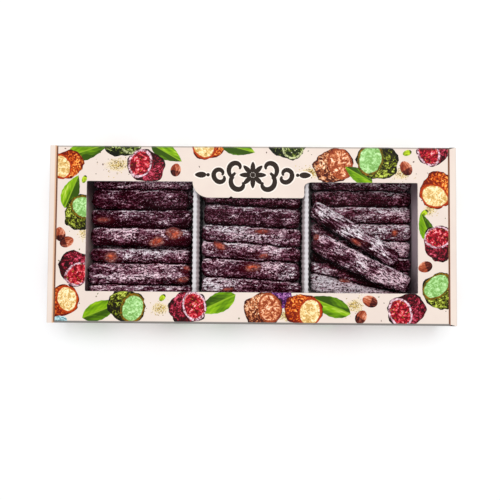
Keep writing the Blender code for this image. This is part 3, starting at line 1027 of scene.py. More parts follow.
# %% Press both dividers
def slab_with_round_top(low, high, radius, step):
    """A slab along Y, made of upright sections whose tops are rounded."""
    middle = (low.x + high.x) / 2
    half = (high.x - low.x) / 2
    ring = [(low.x, low.z + (high.z - radius - low.z) * i / 12) for i in range(13)]
    for i in range(1, 12):
        angle = math.pi - math.pi * i / 12
        ring.append((middle + half * math.cos(angle), high.z - radius + radius * math.sin(angle)))
    ring += [(high.x, low.z + (high.z - radius - low.z) * (12 - i) / 12) for i in range(13)]
    count = round((high.y - low.y) / step)
    places = [low.y + (high.y - low.y) * i / count for i in range(count + 1)]
    return skin_over([[(x, y, z) for x, z in ring] for y in places])


TOP_ROUNDING, SLAB_STEP = 1.3 * MM, 0.6 * MM
dividers = []
for side_name in ("left", "right"):
    name = "paper_divider_" + side_name
    low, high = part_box("divider_" + side_name)
    wall = put(name, mesh_from(slab_with_round_top(low, high, TOP_ROUNDING, SLAB_STEP), name))
    grow(
        wall,
        flute_tree,
        Material=paper,
        Pitch=FLUTE_PITCH,
        Depth=FLUTE_DEPTH,
        Middle=(low.x + high.x) / 2,
        Top=high.z,
        Lean=LEAN if side_name == "left" else -LEAN,
    )
    settle(wall)
    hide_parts("divider_" + side_name)
    dividers.append(wall)
print("divider points:", [len(d.data.vertices) for d in dividers])

# %% [markdown]
# ## The print
# The carton is cream board printed with rolled sweets, leaves, nuts and crumbs. The design
# here is a generic one in such colours. Each motif is a flat shape in the lid's own mesh, and
# its faces carry the place inside the motif, from -1 to 1, with a seed, so one recipe paints
# every roll of a kind differently.


# %% Board colour and print finish
def board_colour(tree):
    place = object_place(tree)
    cloud = grain_noise(place, 0.035, 3.0)
    fleck = grain_noise(place, 0.9, 2.0)
    cream = mixed(cloud.smooth(0.3, 0.7), (0.745, 0.632, 0.566), (0.775, 0.668, 0.592))
    return mixed(fleck.smooth(0.6, 0.85) * 0.2, cream, (0.66, 0.57, 0.54))


def fold_wear_and_shade(tree, colour):
    """The print greys over the lid's folds, with wear and painted shade, and a brown painted shadow lies
    along the cut edges beside the tray.
    """
    x, y, z = object_place(tree).parts()
    gap_shadow = x.smooth(-185.2, -185.7) + x.smooth(185.1, 185.6)
    colour = mixed(gap_shadow * (z > 43.5), colour, (0.19, 0.075, 0.036))
    worn_and_shaded = y.smooth(-82.0, -82.7) * 0.95 + y.smooth(82.5, 83.3) * 0.6
    return mixed(worn_and_shaded * (z > 43.5), colour, (0.18, 0.17, 0.16))


def printed_material(name, recipe):
    material, tree, shader = start_material(name, Specular_IOR_Level=0.1)
    place = object_place(tree)
    tooth = grain_noise(place, 2.2, 3.0, 0.6)
    sway = grain_noise(place, 0.05, 1.0)
    plug(
        shader,
        Base_Color=fold_wear_and_shade(tree, recipe(tree)),
        Roughness=tooth * 0.2 + 0.36,
        Normal=bumped(tooth * 0.25 + sway * 3.0, 0.1 * MM, 0.5),
    )
    return material


printed_board = printed_material("printed_board", board_colour)
print("board nodes:", len(printed_board.node_tree.nodes))

# %% Inks of the rolls, each from dark to light
ROLL_INKS = {
    "crimson": dict(
        crust=((0.018, 0.0, 0.001), (0.13, 0.001, 0.008), (0.36, 0.006, 0.026), (0.72, 0.12, 0.20)),
        rim=(0.93, 0.64, 0.74),
        face=((0.10, 0.0, 0.003), (0.40, 0.003, 0.016), (0.68, 0.022, 0.042), (0.96, 0.46, 0.48)),
        fleck=(0.42, 0.22, 0.03),
    ),
    "green": dict(
        crust=((0.008, 0.006, 0.0), (0.055, 0.055, 0.001), (0.20, 0.24, 0.004), (0.62, 0.72, 0.12)),
        rim=(0.27, 0.125, 0.003),
        face=((0.20, 0.42, 0.10), (0.34, 0.62, 0.22), (0.44, 0.73, 0.30), (0.62, 0.85, 0.46)),
        fleck=(0.10, 0.20, 0.02),
    ),
    "orange": dict(
        crust=((0.16, 0.006, 0.0), (0.52, 0.050, 0.001), (0.78, 0.14, 0.004), (0.98, 0.50, 0.12)),
        rim=(0.30, 0.022, 0.001),
        face=((0.62, 0.36, 0.10), (0.90, 0.66, 0.29), (0.96, 0.78, 0.44), (0.99, 0.88, 0.62)),
        fleck=(0.20, 0.10, 0.008),
    ),
    "peach": dict(
        crust=((0.06, 0.006, 0.002), (0.42, 0.085, 0.022), (0.80, 0.34, 0.14), (1.0, 0.80, 0.55)),
        rim=(0.20, 0.022, 0.008),
        face=((0.26, 0.035, 0.008), (0.66, 0.20, 0.075), (0.90, 0.47, 0.26), (1.0, 0.84, 0.64)),
        fleck=(0.18, 0.016, 0.006),
    ),
    "fern": dict(
        crust=((0.003, 0.005, 0.0), (0.022, 0.034, 0.002), (0.13, 0.17, 0.008), (0.66, 0.74, 0.30)),
        rim=(0.66, 0.70, 0.36),
        face=((0.008, 0.014, 0.001), (0.05, 0.08, 0.004), (0.22, 0.28, 0.04), (0.66, 0.72, 0.34)),
        fleck=(0.70, 0.74, 0.40),
    ),
    "plum": dict(
        crust=((0.003, 0.0, 0.006), (0.022, 0.001, 0.040), (0.13, 0.012, 0.19), (0.52, 0.22, 0.58)),
        rim=(0.22, 0.05, 0.27),
        face=((0.022, 0.001, 0.035), (0.10, 0.008, 0.13), (0.32, 0.08, 0.32), (0.70, 0.42, 0.66)),
        fleck=(0.62, 0.40, 0.55),
    ),
}
print("roll inks:", ", ".join(ROLL_INKS))


# %% Paint a roll
def roll_colour(place, inks):
    """A roll seen from its cut end: crumbed side, rim, and a face with bits of nut in it."""
    u, v, _ = place.parts()
    wobble = (grain_noise(place, 2.4, 2.0, out=1) - 0.5) * (0.16, 0.16, 0.0)
    spot = place + wobble
    crumb = grain_noise(spot * (1.0, 0.7, 1.0), 6.2, 3.0, 0.7, 1.6)
    lumps = cells(spot, 5.0)
    from_face = (spot * (1 / 0.52, 1 / 0.80, 0.0) - (0.34 / 0.52, 0.0, 0.0)).length()
    shade = v * 0.5 - u * 0.3
    outer = (spot * (1.0, 1.0, 0.0)).length()
    crust_tone = crumb * 2.5 - lumps * 0.35 + shade * 0.34 - 0.69 - outer.smooth(0.80, 1.0) * 0.30
    crust = ramp(crust_tone, *zip((0.32, 0.47, 0.62, 0.80), inks["crust"]))
    crust = crust * (1.0 - outer.smooth(0.78, 1.0) * 0.5)
    face_tone = grain_noise(spot, 4.2, 3.0, 0.75, 0.8) * 2.1 + grain_noise(spot, 11.0, 1.0) * 0.5 - 0.88
    face = ramp(face_tone, *zip((0.30, 0.46, 0.60, 0.78), inks["face"]))
    fleck = cells(spot, 6.0).smooth(0.24, 0.12)
    face = mixed(fleck * 0.8, face, inks["fleck"])
    rim_tone = mixed(crumb.smooth(0.4, 0.6), inks["rim"], inks["crust"][1])
    painted = mixed(from_face.smooth(1.15, 1.08), crust, rim_tone)
    return mixed(from_face.smooth(0.98, 0.9), painted, face)


INKS = {
    kind: printed_material("print_" + kind, lambda tree: roll_colour(attribute(tree, "motif"), inks))
    for kind, inks in ROLL_INKS.items()
}
print("roll nodes:", len(INKS["crimson"].node_tree.nodes))


# %% Paint leaves and nuts
def leaf_colour(place):
    u, v, _ = place.parts()
    side = (v > 0.0) * 0.35
    vein = ((u - abs(v) * 0.9) * 20.0 + grain_noise(place, 1.5) * 5.0).reckon("SINE")
    tone = grain_noise(place * (0.6, 1.4, 1.0), 1.4, 2.0) * 1.3 + side - 0.34 + vein * 0.035
    green = ramp(
        tone,
        (0.30, (0.030, 0.075, 0.0)),
        (0.46, (0.085, 0.195, 0.0005)),
        (0.60, (0.145, 0.315, 0.001)),
        (0.76, (0.25, 0.46, 0.004)),
        (0.94, (0.52, 0.66, 0.10)),
    )
    return mixed(abs(v).smooth(0.08, 0.03), green, (0.24, 0.40, 0.015))


def nut_colour(place):
    u, v, _ = place.parts()
    streak = grain_noise(place * (0.5, 1.6, 1.0), 2.6, 3.0)
    light = streak * 0.9 - v * 0.16
    tones = (0.3, 0.5, 0.66)
    shell = ramp(light, *zip(tones, ((0.012, 0.001, 0.001), (0.10, 0.010, 0.005), (0.36, 0.09, 0.05))))
    cap = ramp(light, *zip(tones, ((0.17, 0.018, 0.006), (0.44, 0.09, 0.035), (0.82, 0.40, 0.26))))
    return mixed((u + streak * 0.3).smooth(0.02, 0.16), shell, cap)


def bit_colour(place):
    u = place.parts()[0]
    green = ramp(grain_noise(place, 1.6) + u * 0.15, (0.3, (0.13, 0.20, 0.0)), (0.6, (0.50, 0.66, 0.02)))
    return mixed(u.smooth(0.45, 0.7), green, (0.05, 0.06, 0.01))


def frost_colour(place):
    tone = grain_noise(place, 2.6, 3.0, 0.7) * 1.5 - 0.25 + place.parts()[1] * 0.1
    return ramp(
        tone,
        (0.3, (0.05, 0.08, 0.10)),
        (0.45, (0.22, 0.42, 0.45)),
        (0.6, (0.45, 0.68, 0.75)),
        (0.78, (0.85, 0.93, 0.95)),
    )


print("leaf, nut, bit and frost recipes ready")


# %% Paint crumbs and the ornament
def own_luck(place):
    """A number from 0 to 1 that differs from crumb to crumb."""
    seed = place.parts()[2]
    return Wire.node(place.tree, "ShaderNodeTexWhiteNoise", {"noise_dimensions": "1D"}, {"W": seed})


def crumb_colour(place):
    return ramp(
        own_luck(place),
        (0.0, (0.03, 0.012, 0.001)),
        (0.2, (0.16, 0.09, 0.008)),
        (0.5, (0.46, 0.30, 0.05)),
        (0.9, (0.68, 0.53, 0.20)),
    )


def speck_colour(place):
    tone = own_luck(place)
    return ramp(tone, (0.0, (0.03, 0.03, 0.02)), (0.4, (0.14, 0.05, 0.04)), (0.8, (0.10, 0.16, 0.04)))


def dusting_colour(place):
    """Fine golden crumbs printed as dots, thick in the middle and thinning out to bare board."""
    radius = (place * (1.0, 1.0, 0.0)).length()
    where = object_place(place.tree)
    thick = radius.smooth(1.0, 0.1) * 1.3 + grain_noise(where, 0.16, 2.0) - 0.62
    luck, size, _ = cells(where, 1.15, out="Color").parts()
    dot = (cells(where, 1.15) < thick * (size * 0.5 + 0.30)) * (thick > 0.02)
    sand = ramp(
        luck,
        (0.0, (0.035, 0.014, 0.002)),
        (0.22, (0.20, 0.11, 0.012)),
        (0.5, (0.52, 0.34, 0.07)),
        (0.9, (0.72, 0.57, 0.24)),
    )
    haze = mixed(thick.smooth(0.0, 0.7) * 0.5, board_colour(place.tree), (0.80, 0.66, 0.36))
    return mixed(dot, haze, sand)


def ornament_colour(place):
    return mixed(grain_noise(place, 3.0), (0.014, 0.008, 0.005), (0.030, 0.018, 0.012))


def halo_colour(place):
    return mixed(grain_noise(place, 3.0), (0.86, 0.77, 0.70), (0.90, 0.81, 0.74))


SMALL_PRINTS = dict(
    leaf=leaf_colour,
    nut=nut_colour,
    bit=bit_colour,
    frost=frost_colour,
    crumb=crumb_colour,
    speck=speck_colour,
    dusting=dusting_colour,
    halo=halo_colour,
    scroll=ornament_colour,
)
for kind, colour in SMALL_PRINTS.items():
    INKS[kind] = printed_material("print_" + kind, lambda tree: colour(attribute(tree, "motif")))
print("inks:", ", ".join(INKS))

# %% [markdown]
# ## Where the motifs lie
# The list gives each motif's kind, middle, half length, half width and turn in millimetres and
# degrees. Later ones lie over earlier ones. Crumbs and specks come under them all, and are
# scattered with a fixed seed.

# %% The layout
MOTIFS = [
    # back strip, left to right
    ("leaf", -157, 80, 22, 10, 18),
    ("orange", -177, 66, 17, 14, 200),
    ("fern", -124, 90, 20, 17, 10),
    ("leaf", -82, 78, 17, 8.5, -30),
    ("crimson", -101, 65, 19, 16, 160),
    ("nut", -73, 61, 6, 5, 80),
    ("orange", -41, 88, 19, 16, 205),
    ("leaf", -14, 83, 17, 8.5, -15),
    ("fern", 33, 88, 19, 16, -15),
    ("peach", 77, 66, 20, 17, 20),
    ("leaf", 101, 58, 15, 7.5, 150),
    ("green", 119, 71, 21, 18, 165),
    ("nut", 146, 64, 7, 5.5, 120),
    ("bit", 147, 79, 4.5, 2.8, 20),
    ("crimson", 172, 82, 17, 15, 210),
    # left side
    ("bit", -160, 52, 4, 2.4, 70),
    ("leaf", -172, 40, 17, 9, 68),
    ("green", -163, 20, 18, 15, 60),
    ("nut", -182, -1, 6.5, 5.2, 100),
    ("nut", -176, -8, 6.5, 5.2, 20),
    ("crimson", -167, -33, 18, 15.5, 300),
    # right side
    ("orange", 175, 44, 19, 16, 250),
    ("bit", 163, 22, 4, 2.6, 40),
    ("leaf", 165, 7, 16, 7.5, 110),
    ("crimson", 177, -7, 18, 15, 100),
    ("nut", 164, -29, 6.5, 5.2, 200),
    ("green", 178, -52, 18, 17, 130),
    # front strip, left to right
    ("frost", -181, -81, 8, 4.5, -15),
    ("orange", -180, -64, 18, 15, 20),
    ("leaf", -141, -72, 20, 9.5, 22),
    ("green", -118, -68, 19, 16, 340),
    ("bit", -84, -60, 4, 2.6, 50),
    ("leaf", -33, -65, 20, 10, 205),
    ("crimson", -60, -69, 19, 16, 15),
    ("plum", 26, -58, 13, 12, 0),
    ("peach", 11, -70, 19, 16, 10),
    ("leaf", 74, -66, 21, 10, 158),
    ("orange", 49, -71, 19, 16, 345),
    ("nut", 103, -77, 6.5, 5.2, 60),
    ("nut", 112, -62, 7, 5.5, 160),
    ("crimson", 146, -70, 19, 16, 200),
]
# Crumbs: middle, half length and half width of the printed dust, and how many larger ones
CRUMB_CLUSTERS = (
    (-128, 66, 17, 9, 90),
    (56, 60, 13, 7, 60),
    (141, 59, 12, 8, 50),
    (-86, -70, 12, 8, 60),
    (32, -76, 13, 7, 60),
    (97, -66, 12, 9, 60),
    (168, 25, 8, 9, 40),
    (-160, 0, 6, 8, 30),
)
SPECKS = 60
print("motifs:", len(MOTIFS), "crumbs:", sum(cluster[4] for cluster in CRUMB_CLUSTERS))


# %% Outlines of the motifs
def rotated(x, y, turn):
    return x * math.cos(turn) - y * math.sin(turn), x * math.sin(turn) + y * math.cos(turn)


def roll_outline(chance):
    points = []
    bumps = [chance.uniform(0, 6.28) for _ in range(4)]
    for i in range(40):
        a = 2 * math.pi * i / 40
        wobble = 1 + 0.035 * math.sin(5 * a + bumps[0]) + chance.uniform(-0.025, 0.025)
        wobble += 0.025 * math.sin(9 * a + bumps[1]) + 0.015 * math.sin(14 * a + bumps[2])
        side = abs(math.sin(a)) ** 0.82 * math.copysign(1, math.sin(a))
        length = abs(math.cos(a)) ** 0.86 * math.copysign(1, math.cos(a))
        points.append((length * wobble * 0.95, side * wobble * (0.94 + 0.05 * length)))
    return points


def leaf_outline():
    points = []
    for i in range(15):
        t = i / 14
        jag = 0.05 * (i % 2)
        points.append((2 * t - 1, (math.sin(math.pi * t ** 0.8) ** 0.85) * (1 - jag)))
    for i in range(13, 0, -1):
        t = i / 14
        jag = 0.05 * (i % 2)
        points.append((2 * t - 1, -(math.sin(math.pi * t ** 0.75) ** 0.9) * (0.92 - jag)))
    return points


def oval_outline(count, point=0.0):
    points = []
    for i in range(count):
        a = 2 * math.pi * i / count
        points.append((math.cos(a) * (1 + point * max(0, math.cos(a)) ** 3), math.sin(a)))
    return points


def motif_outline(kind, chance):
    if kind in ROLL_INKS:
        return roll_outline(chance)
    if kind == "leaf":
        return leaf_outline()
    if kind == "nut":
        return oval_outline(20, 0.12)
    return oval_outline({"bit": 10, "frost": 9, "dusting": 24}.get(kind, 6))


print("outlines ready")

# %% [markdown]
# ## The ornament on the tab
# The tab's middle holds a symmetric scroll ornament in dark ink: a rosette with curls on both
# sides. Each curl is a tapering band along a spiral.


# %% Scroll shapes
def band(points, widths):
    """A closed outline round a line of points, as wide at each as widths says."""
    left, right = [], []
    for i, (x, y) in enumerate(points):
        before, after = points[max(i - 1, 0)], points[min(i + 1, len(points) - 1)]
        dx, dy = after[0] - before[0], after[1] - before[1]
        size = math.hypot(dx, dy) or 1.0
        nx, ny = -dy / size * widths[i] / 2, dx / size * widths[i] / 2
        left.append((x + nx, y + ny))
        right.append((x - nx, y - ny))
    return left + right[::-1]


CURL_SWEEP = 4.6
CURL_STEPS = 22


def curl(start, turn, size, width, flip, grown):
    """A band along a spiral that winds up to its end, thickest a little before its middle."""
    points, widths = [], []
    for i in range(CURL_STEPS + 1):
        t = i / CURL_STEPS
        angle = CURL_SWEEP * t
        radius = size * (1 - 0.80 * t)
        points.append((radius * math.cos(angle), flip * radius * math.sin(angle)))
        widths.append(width * (0.35 + 2.6 * t * (1 - t)) * (1 - 0.35 * t) + 2 * grown)
    turned = [rotated(x - points[0][0], y - points[0][1], turn) for x, y in points]
    return band([(start[0] + x, start[1] + y) for x, y in turned], widths)


# Each curl's start in millimetres, turn in degrees, size, width and which way it winds
CURLS = (
    ((16.5, 2.0), 66, 10.8, 5.4, -1),
    ((18.0, -3.5), -72, 10.0, 5.2, 1),
    ((34.0, 5.5), 60, 8.6, 4.8, -1),
    ((35.0, -6.5), -60, 8.0, 4.6, 1),
)


def ornament(cx, cy, grown=0.0):
    """The ornament's outlines, each grown outwards by so much for the pale edge under it."""
    shapes = []
    for k in range(8):
        petal = [
            rotated(x * (4.4 + grown) + 6.8, y * (2.1 + grown), k * math.pi / 4)
            for x, y in oval_outline(14, 0.3)
        ]
        shapes.append([(cx + x, cy + y) for x, y in petal])
    shapes.append([(cx + x * 2.3, cy + y * 2.3) for x, y in oval_outline(12)])
    for side in (-1, 1):
        half = [
            curl(start, math.radians(turn), size, width, flip, grown)
            for start, turn, size, width, flip in CURLS
        ]
        half.append([(49 + x * (4.6 + grown), y * (2.7 + grown)) for x, y in oval_outline(14, 0.3)])
        half.append([(42.6 + x * (1.5 + grown), y * (1.5 + grown)) for x, y in oval_outline(10)])
        for shape in half:
            shapes.append([(cx + side * x, cy + y) for x, y in shape])
    return shapes


print("ornament shapes:", len(ornament(0.0, 0.0)))

# %% [markdown]
# ## The lid
# The lid is one sheet of board, folded down at its front and back, with the window cut out.
# Its flat pattern is triangulated with every motif's outline in it, then bent over the folds
# and given its thickness. So the print's edges are real edges of the mesh.


# %% Window outline with its tab
def arc(cx, cy, rx, ry, start, end, steps):
    return [
        (cx + rx * math.cos(math.radians(start + (end - start) * i / steps)),
         cy + ry * math.sin(math.radians(start + (end - start) * i / steps)))
        for i in range(steps + 1)
    ]


# Small nicks in the tab's cut edge, in millimetres: place, width and depth
NICKS = ((24.5, 1.6, 0.5), (9.3, 2.0, 0.7), (-20.1, 4.2, 1.5))


def window_outline():
    left, right = (v / MM for v in WINDOW["x"])
    front, back = (v / MM for v in WINDOW["y"])
    r = WINDOW["corner"] / MM
    edge = back - TAB["drop"] / MM
    tab_left, tab_right, sweep, corner = (TAB[k] / MM for k in ("left", "right", "sweep", "corner"))
    flare_x, flare_y = (v / MM for v in TAB["flare"])
    points = arc(left + r, front + r, r, r, 180, 270, 4)
    points += arc(right - r, front + r, r, r, 270, 360, 4)
    points += arc(right - r, back - r, r, r, 0, 90, 4)
    points += arc(tab_right + flare_x, back - flare_y, flare_x, flare_y, 90, 180, 7)
    points += arc(tab_right - corner, edge + corner, corner, corner, 0, -90, 6)
    for x, width, depth in NICKS:
        points += [(x + width / 2, edge), (x, edge + depth), (x - width / 2, edge)]
    points += arc(tab_left + sweep, back, sweep, TAB["drop"] / MM, 270, 180, 14)
    points += arc(left + r, back - r, r, r, 90, 180, 4)
    return points


print("window outline points:", len(window_outline()))

# %% Flat pattern and its folds
FLAT = LID_HALF[1] - LID_FOLD
ARC_LENGTH = LID_FOLD * math.pi / 2
PATTERN_HALF = (LID_HALF[0] / MM, (FLAT + ARC_LENGTH + LID_DROP) / MM)


def bend(x, v):
    """Where a place of the flat pattern, in millimetres, goes on the folded lid, in metres."""
    x, v = x * MM, v * MM
    past = abs(v) - FLAT
    if past <= 0:
        return x, v, CARTON_TOP
    sign = math.copysign(1, v)
    angle = min(past / LID_FOLD, math.pi / 2)
    drop = max(0.0, past - ARC_LENGTH)
    y = FLAT + LID_FOLD * math.sin(angle)
    return x, sign * y, CARTON_TOP - LID_FOLD + LID_FOLD * math.cos(angle) - drop


def lid_border():
    """The pattern's edge. Small nips near the corners widen the gap to the side walls there."""
    hx, hy = PATTERN_HALF
    top = FLAT / MM
    right = [(hx, -hy), (hx, -top - 0.2), (hx, 70.0), (hx - 0.8, 76.0), (hx - 1.3, 77.6)]
    right += [(hx - 0.4, 80.5), (hx, hy)]
    left = [(-hx, hy), (-hx, -top + 6.0), (-hx + 0.5, -top + 2.0), (-hx, -hy)]
    return right + left


print("flat pattern in mm:", [round(2 * v, 1) for v in PATTERN_HALF])


# %% Collect outlines for the triangulation
class Pattern:
    """Outlines for the triangulation, each with its kind and its own frame."""

    def __init__(self):
        self.points, self.edges, self.faces, self.frames = [], [], [], []

    def add(self, outline, kind, frame=(0.0, 0.0, 1.0, 1.0, 0.0, 0.0)):
        """Adds an outline. The triangulation wants it to run anticlockwise."""
        after = outline[1:] + outline[:1]
        if sum(one[0] * two[1] - two[0] * one[1] for one, two in zip(outline, after)) < 0:
            outline = outline[::-1]
        start = len(self.points)
        self.points += [Vector(p) for p in outline]
        self.faces.append(list(range(start, start + len(outline))))
        self.frames.append((kind, frame))

    def crease(self, one, two):
        start = len(self.points)
        self.points += [Vector(one), Vector(two)]
        self.edges.append((start, start + 1))

    def add_motif(self, kind, x, y, half_length, half_width, turn, seed, chance):
        angle = math.radians(turn)
        outline = []
        for u, v in motif_outline(kind, chance):
            px, py = rotated(u * half_length, v * half_width, angle)
            outline.append((x + px, y + py))
        self.add(outline, kind, (x, y, half_length, half_width, angle, seed))

    def own_place(self, index, x, y):
        cx, cy, half_length, half_width, angle, seed = self.frames[index][1]
        u, v = rotated(x - cx, y - cy, -angle)
        return u / half_length, v / half_width, seed


print("pattern class ready")

# %% Lay the motifs on the pattern
pattern = Pattern()
pattern.add(lid_border(), "board")
pattern.add(window_outline(), "window")
chance = random.Random(5)
for index, (cx, cy, reach_x, reach_y, count) in enumerate(CRUMB_CLUSTERS):
    pattern.add_motif("dusting", cx, cy, reach_x, reach_y, chance.uniform(-15, 15), 7.0 * index, chance)
    for _ in range(count):
        x, y = chance.gauss(cx, reach_x * 0.5), chance.gauss(cy, reach_y * 0.5)
        half_length, half_width = chance.uniform(0.3, 0.8), chance.uniform(0.25, 0.5)
        turn, seed = chance.uniform(0, 180), chance.uniform(0, 99)
        pattern.add_motif("crumb", x, y, half_length, half_width, turn, seed, chance)
for _ in range(SPECKS):
    x, y = chance.uniform(-184, 184), chance.choice((-1, 1)) * chance.uniform(56, 82)
    if chance.random() < 0.3:
        x, y = chance.choice((-1, 1)) * chance.uniform(160, 184), chance.uniform(-50, 50)
    half_length, half_width = chance.uniform(0.4, 1.1), chance.uniform(0.35, 0.75)
    turn, seed = chance.uniform(0, 180), chance.uniform(0, 99)
    pattern.add_motif("speck", x, y, half_length, half_width, turn, seed, chance)
for index, motif in enumerate(MOTIFS):
    pattern.add_motif(*motif, 3.1 * index, chance)
# The ornament comes twice: grown a little in a pale ink, and then in the dark one
for kind, grown in (("halo", 1.4), ("scroll", 0.25)):
    for shape in ornament(0.5, 57.0, grown):
        pattern.add(shape, kind)
hx, hy = PATTERN_HALF
for step in range(5):
    v = (FLAT + ARC_LENGTH * step / 4) / MM
    for sign in (-1, 1):
        pattern.crease((-hx - 1, sign * v), (hx + 1, sign * v))

flat_points, _, flat_faces, _, _, owners = geometry.delaunay_2d_cdt(
    pattern.points, pattern.edges, pattern.faces, 0, 1e-5
)
print("pattern:", len(pattern.frames), "outlines,", len(flat_faces), "triangles")

# %% Fold the pattern into the lid
kinds = ["board", *INKS]
kept, kept_kinds, kept_frames = [], [], []
# Outline 0 is the lid's border, and 1 is the window, whose faces are left out
for face, owner in zip(flat_faces, owners):
    inside = set(owner)
    if 0 not in inside or 1 in inside:
        continue
    top = max(inside)
    kept.append(face)
    kept_kinds.append(kinds.index(pattern.frames[top][0]))
    kept_frames.append(top)

mesh = bpy.data.meshes.new("printed_lid")
mesh.from_pydata([bend(p.x, p.y) for p in flat_points], [], kept)
mesh.polygons.foreach_set("material_index", kept_kinds)
layer = mesh.attributes.new("motif", "FLOAT_VECTOR", "CORNER")
values = []
for face, top in zip(kept, kept_frames):
    for corner in face:
        values += pattern.own_place(top, flat_points[corner].x, flat_points[corner].y)
layer.data.foreach_set("vector", values)
for ink in [printed_board, *INKS.values()]:
    mesh.materials.append(ink)
print("lid triangles:", len(kept))

# %% Bare board, and the lid's thickness
bare_board, tree, shader = start_material("bare_board", Roughness=0.8)
place = object_place(tree)
fibre = grain_noise(place, 1.2, 4.0, 0.7)
plug(
    shader,
    Base_Color=mixed(fibre, (0.62, 0.57, 0.55), (0.74, 0.70, 0.67)),
    Normal=bumped(fibre, 0.15 * MM, 0.5),
)
mesh.materials.append(bare_board)

builder = builder_from(mesh)
loose = [v for v in builder.verts if not v.link_faces]
bmesh.ops.delete(builder, geom=loose, context="VERTS")
builder.to_mesh(mesh)
builder.free()
lid = put("printed_lid", mesh)
bare_index = len(mesh.materials) - 1
wall = lid.modifiers.new("board", "SOLIDIFY")
wall.thickness = LID_BOARD
wall.offset = -1.0
wall.material_offset = bare_index
wall.material_offset_rim = bare_index
settle(lid)
print("lid faces:", len(lid.data.polygons))

# %% [markdown]
# ## The tuck flap
# Behind the tray's front wall the lid's flap goes down, with rounded corners so that it slides
# in. It is plain board, joined to the lid.


# %% Tuck flap
def flap_mesh():
    half = LID_HALF[0] - 4 * MM
    top, foot = CARTON_TOP - LID_BOARD, CARTON_TOP - 24.0 * MM
    back, front = -81.4 * MM, -82.4 * MM
    r = 9.0 * MM
    outline = [(-half, top), *arc(-half + r, foot + r, r, r, 180, 270, 8)]
    outline += [*arc(half - r, foot + r, r, r, 270, 360, 8), (half, top)]
    builder = skin_over([[(x, y, z) for x, z in outline] for y in (front, back)])
    for face in builder.faces:
        face.material_index = bare_index
    return mesh_from(builder, "flap")


flap = flap_mesh()
builder = builder_from(lid.data, flap)
builder.to_mesh(lid.data)
builder.free()
print("flap faces:", len(flap.polygons))
bpy.data.meshes.remove(flap)
lid.data.shade_smooth()
lid.data.set_sharp_from_angle(angle=math.radians(35))
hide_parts("carton_lid")

# %% [markdown]
# ## The tray
# The tray's solid has the right shape already, so it stays, and its material tells its faces
# apart by where they are: cream print outside, with rolls of sweets scattered over the walls,
# and bare grey board inside. The walls are divided into cells, one roll of sweets in each.

# %% Tray material
CELL = 46.0
SIDE_SHIFT = 470.0
tray_print, tree, shader = start_material("tray_board", Specular_IOR_Level=0.15)
place = object_place(tree)
x, y, z = place.parts()
nx, ny, nz = Wire.node(tree, "ShaderNodeNewGeometry", out="Normal").parts()
on_end = abs(nx) > 0.6
along = y * on_end + x * (1.0 - on_end) + on_end * SIDE_SHIFT
spot = combined(along / CELL, z / CELL + 0.06 + (ny > 0.5) * 3.0 + (nx > 0.5) * 7.0)
middle = cells(spot, 1.0, out="Position", dimensions="2D")
luck = cells(spot, 1.0, out="Color", dimensions="2D")
away = (spot - middle) * (1 / 0.40, 1 / 0.40, 0.0)
pick, turn, _ = luck.parts()
motif = Wire.node(
    tree, "ShaderNodeVectorRotate", {"rotation_type": "Z_AXIS"}, {"Vector": away, "Angle": turn * 6.28}
)
motif = motif * (1.0, 1.15, 0.0) + combined(0.0, 0.0, pick * 50.0)
edge = (motif * (1.0, 1.0, 0.0)).length() + (grain_noise(motif, 2.6, 2.0) - 0.5) * 0.14
crimson, green, orange = (roll_colour(motif, ROLL_INKS[ink]) for ink in ("crimson", "green", "orange"))
rolls = mixed(pick > 0.62, mixed(pick > 0.35, crimson, green), orange)
walls = (z > 0.6) * (abs(nz) < 0.5)
outside = mixed((edge < 0.96) * walls, board_colour(tree), rolls)
# Painted shade: brown in the gap by the left fold, grey on both ends' upper outer edges, and black where
# the right wall's corners gape
outside = mixed(x.smooth(-189.0, -187.3) * (x < -186.0) * (z > 36.0), outside, (0.62, 0.36, 0.20))
outside = mixed(abs(x).smooth(192.2, 193.2) * (z > 44.0) * 0.45, outside, (0.50, 0.44, 0.42))
hole_shadow = (abs(y) - 83.0 - (x - 187.0) * 0.26 > 0.0) * (x > 187.1) * (z > 40.0)
outside = mixed(hole_shadow, outside, (0.012, 0.010, 0.009))
inside = (abs(x) < 187.2) * (abs(y) < 82.85) * (z > 0.8)
fibre = grain_noise(place, 1.2, 4.0, 0.7)
grey = mixed(fibre, (0.34, 0.30, 0.30), (0.46, 0.42, 0.42))
# Near the top the inner walls are painted brown, the painted shade of the gap beside the lid
grey = mixed(z > 38.0, grey, (0.66, 0.36, 0.25))
plug(
    shader,
    Base_Color=mixed(inside, outside, grey),
    Roughness=grain_noise(place, 2.2) * 0.2 + 0.4,
    Normal=bumped(fibre, 0.08 * MM, 0.5),
)
nodes["carton_tray"].material_slots[0].material = tray_print
print("tray nodes:", len(tree.nodes))

# %% [markdown]
# ## Spacers, film and table
# The spacers are folded grey board, seen only as shaded end walls. The film is clear: nearly
# all light passes it, and its gloss shows only at a glancing look. The table is plain white.

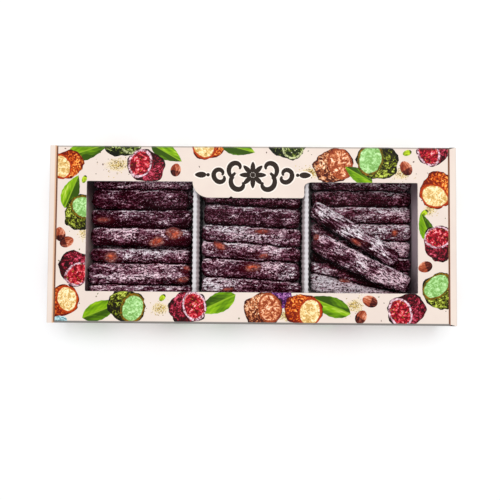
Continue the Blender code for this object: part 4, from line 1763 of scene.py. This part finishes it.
# %% Spacers
grey_board, tree, shader = start_material("plain_board", Roughness=0.85)
place = object_place(tree)
x, y, z = place.parts()
fibre = grain_noise(place * (1.0, 0.4, 1.0), 1.3, 4.0, 0.7)
cloud = grain_noise(place, 0.08, 2.0) * 0.6 + fibre * 0.4
wall_grey = mixed(
    x > 0.0,
    mixed(cloud, (0.52, 0.36, 0.345), (0.66, 0.47, 0.45)),
    mixed(cloud, (0.50, 0.40, 0.44), (0.63, 0.51, 0.56)),
)
at_the_ends = abs(y + 2.0).smooth(20.0, 48.0) * (1.0 - (x > 0.0) * 0.4)
low_down = z.smooth(19.0, 14.0)
shaded = at_the_ends.reckon("MAXIMUM", low_down)
plug(
    shader,
    Base_Color=mixed(shaded, wall_grey, wall_grey * (0.25, 0.18, 0.20)),
    Normal=bumped(fibre, 0.15 * MM, 0.5),
)
for side_name in ("left", "right"):
    nodes["spacer_" + side_name].material_slots[0].material = grey_board
print("spacer nodes:", len(tree.nodes))

# %% Film
film, tree, shader = start_material("clear_film", Roughness=0.06, IOR=1.5)
ripple = grain_noise(object_place(tree), 0.03, 2.0)
edge_on = Wire.node(tree, "ShaderNodeLayerWeight", inputs={"Blend": 0.3}, out="Facing")
plug(
    shader,
    Alpha=edge_on * edge_on * 0.5 + 0.012,
    Base_Color=mixed(ripple, (0.02, 0.022, 0.024), (0.04, 0.042, 0.045)),
    Normal=bumped(ripple, 0.4 * MM, 0.5),
)
nodes["window_film"].material_slots[0].material = film
print("film nodes:", len(tree.nodes))

# %% Table
table_paint, tree, shader = start_material("white_table", Roughness=0.7)
cloud = grain_noise(object_place(tree), 0.002)
plug(shader, Base_Color=mixed(cloud, (0.895, 0.905, 0.915), (0.91, 0.92, 0.93)))
builder = bmesh.new()
below = Matrix.Translation((0, 0, -0.4 * MM))
bmesh.ops.create_grid(builder, x_segments=8, y_segments=8, size=4.0, matrix=below)
table_top = put("table_top", mesh_from(builder, "table_top"))
table_top.data.materials.append(table_paint)
print("table width in metres:", table_top.dimensions.x)

# %% [markdown]
# ## Riding on the carton
# The sticks, kernels, starch, dividers and lid ride on the carton's one body.

# %% Ride on the body
for piece in [*sticks.values(), kernels, *starch_pieces]:
    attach(piece, "root")
for piece in dividers:
    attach(piece, "root")
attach(lid, "root")
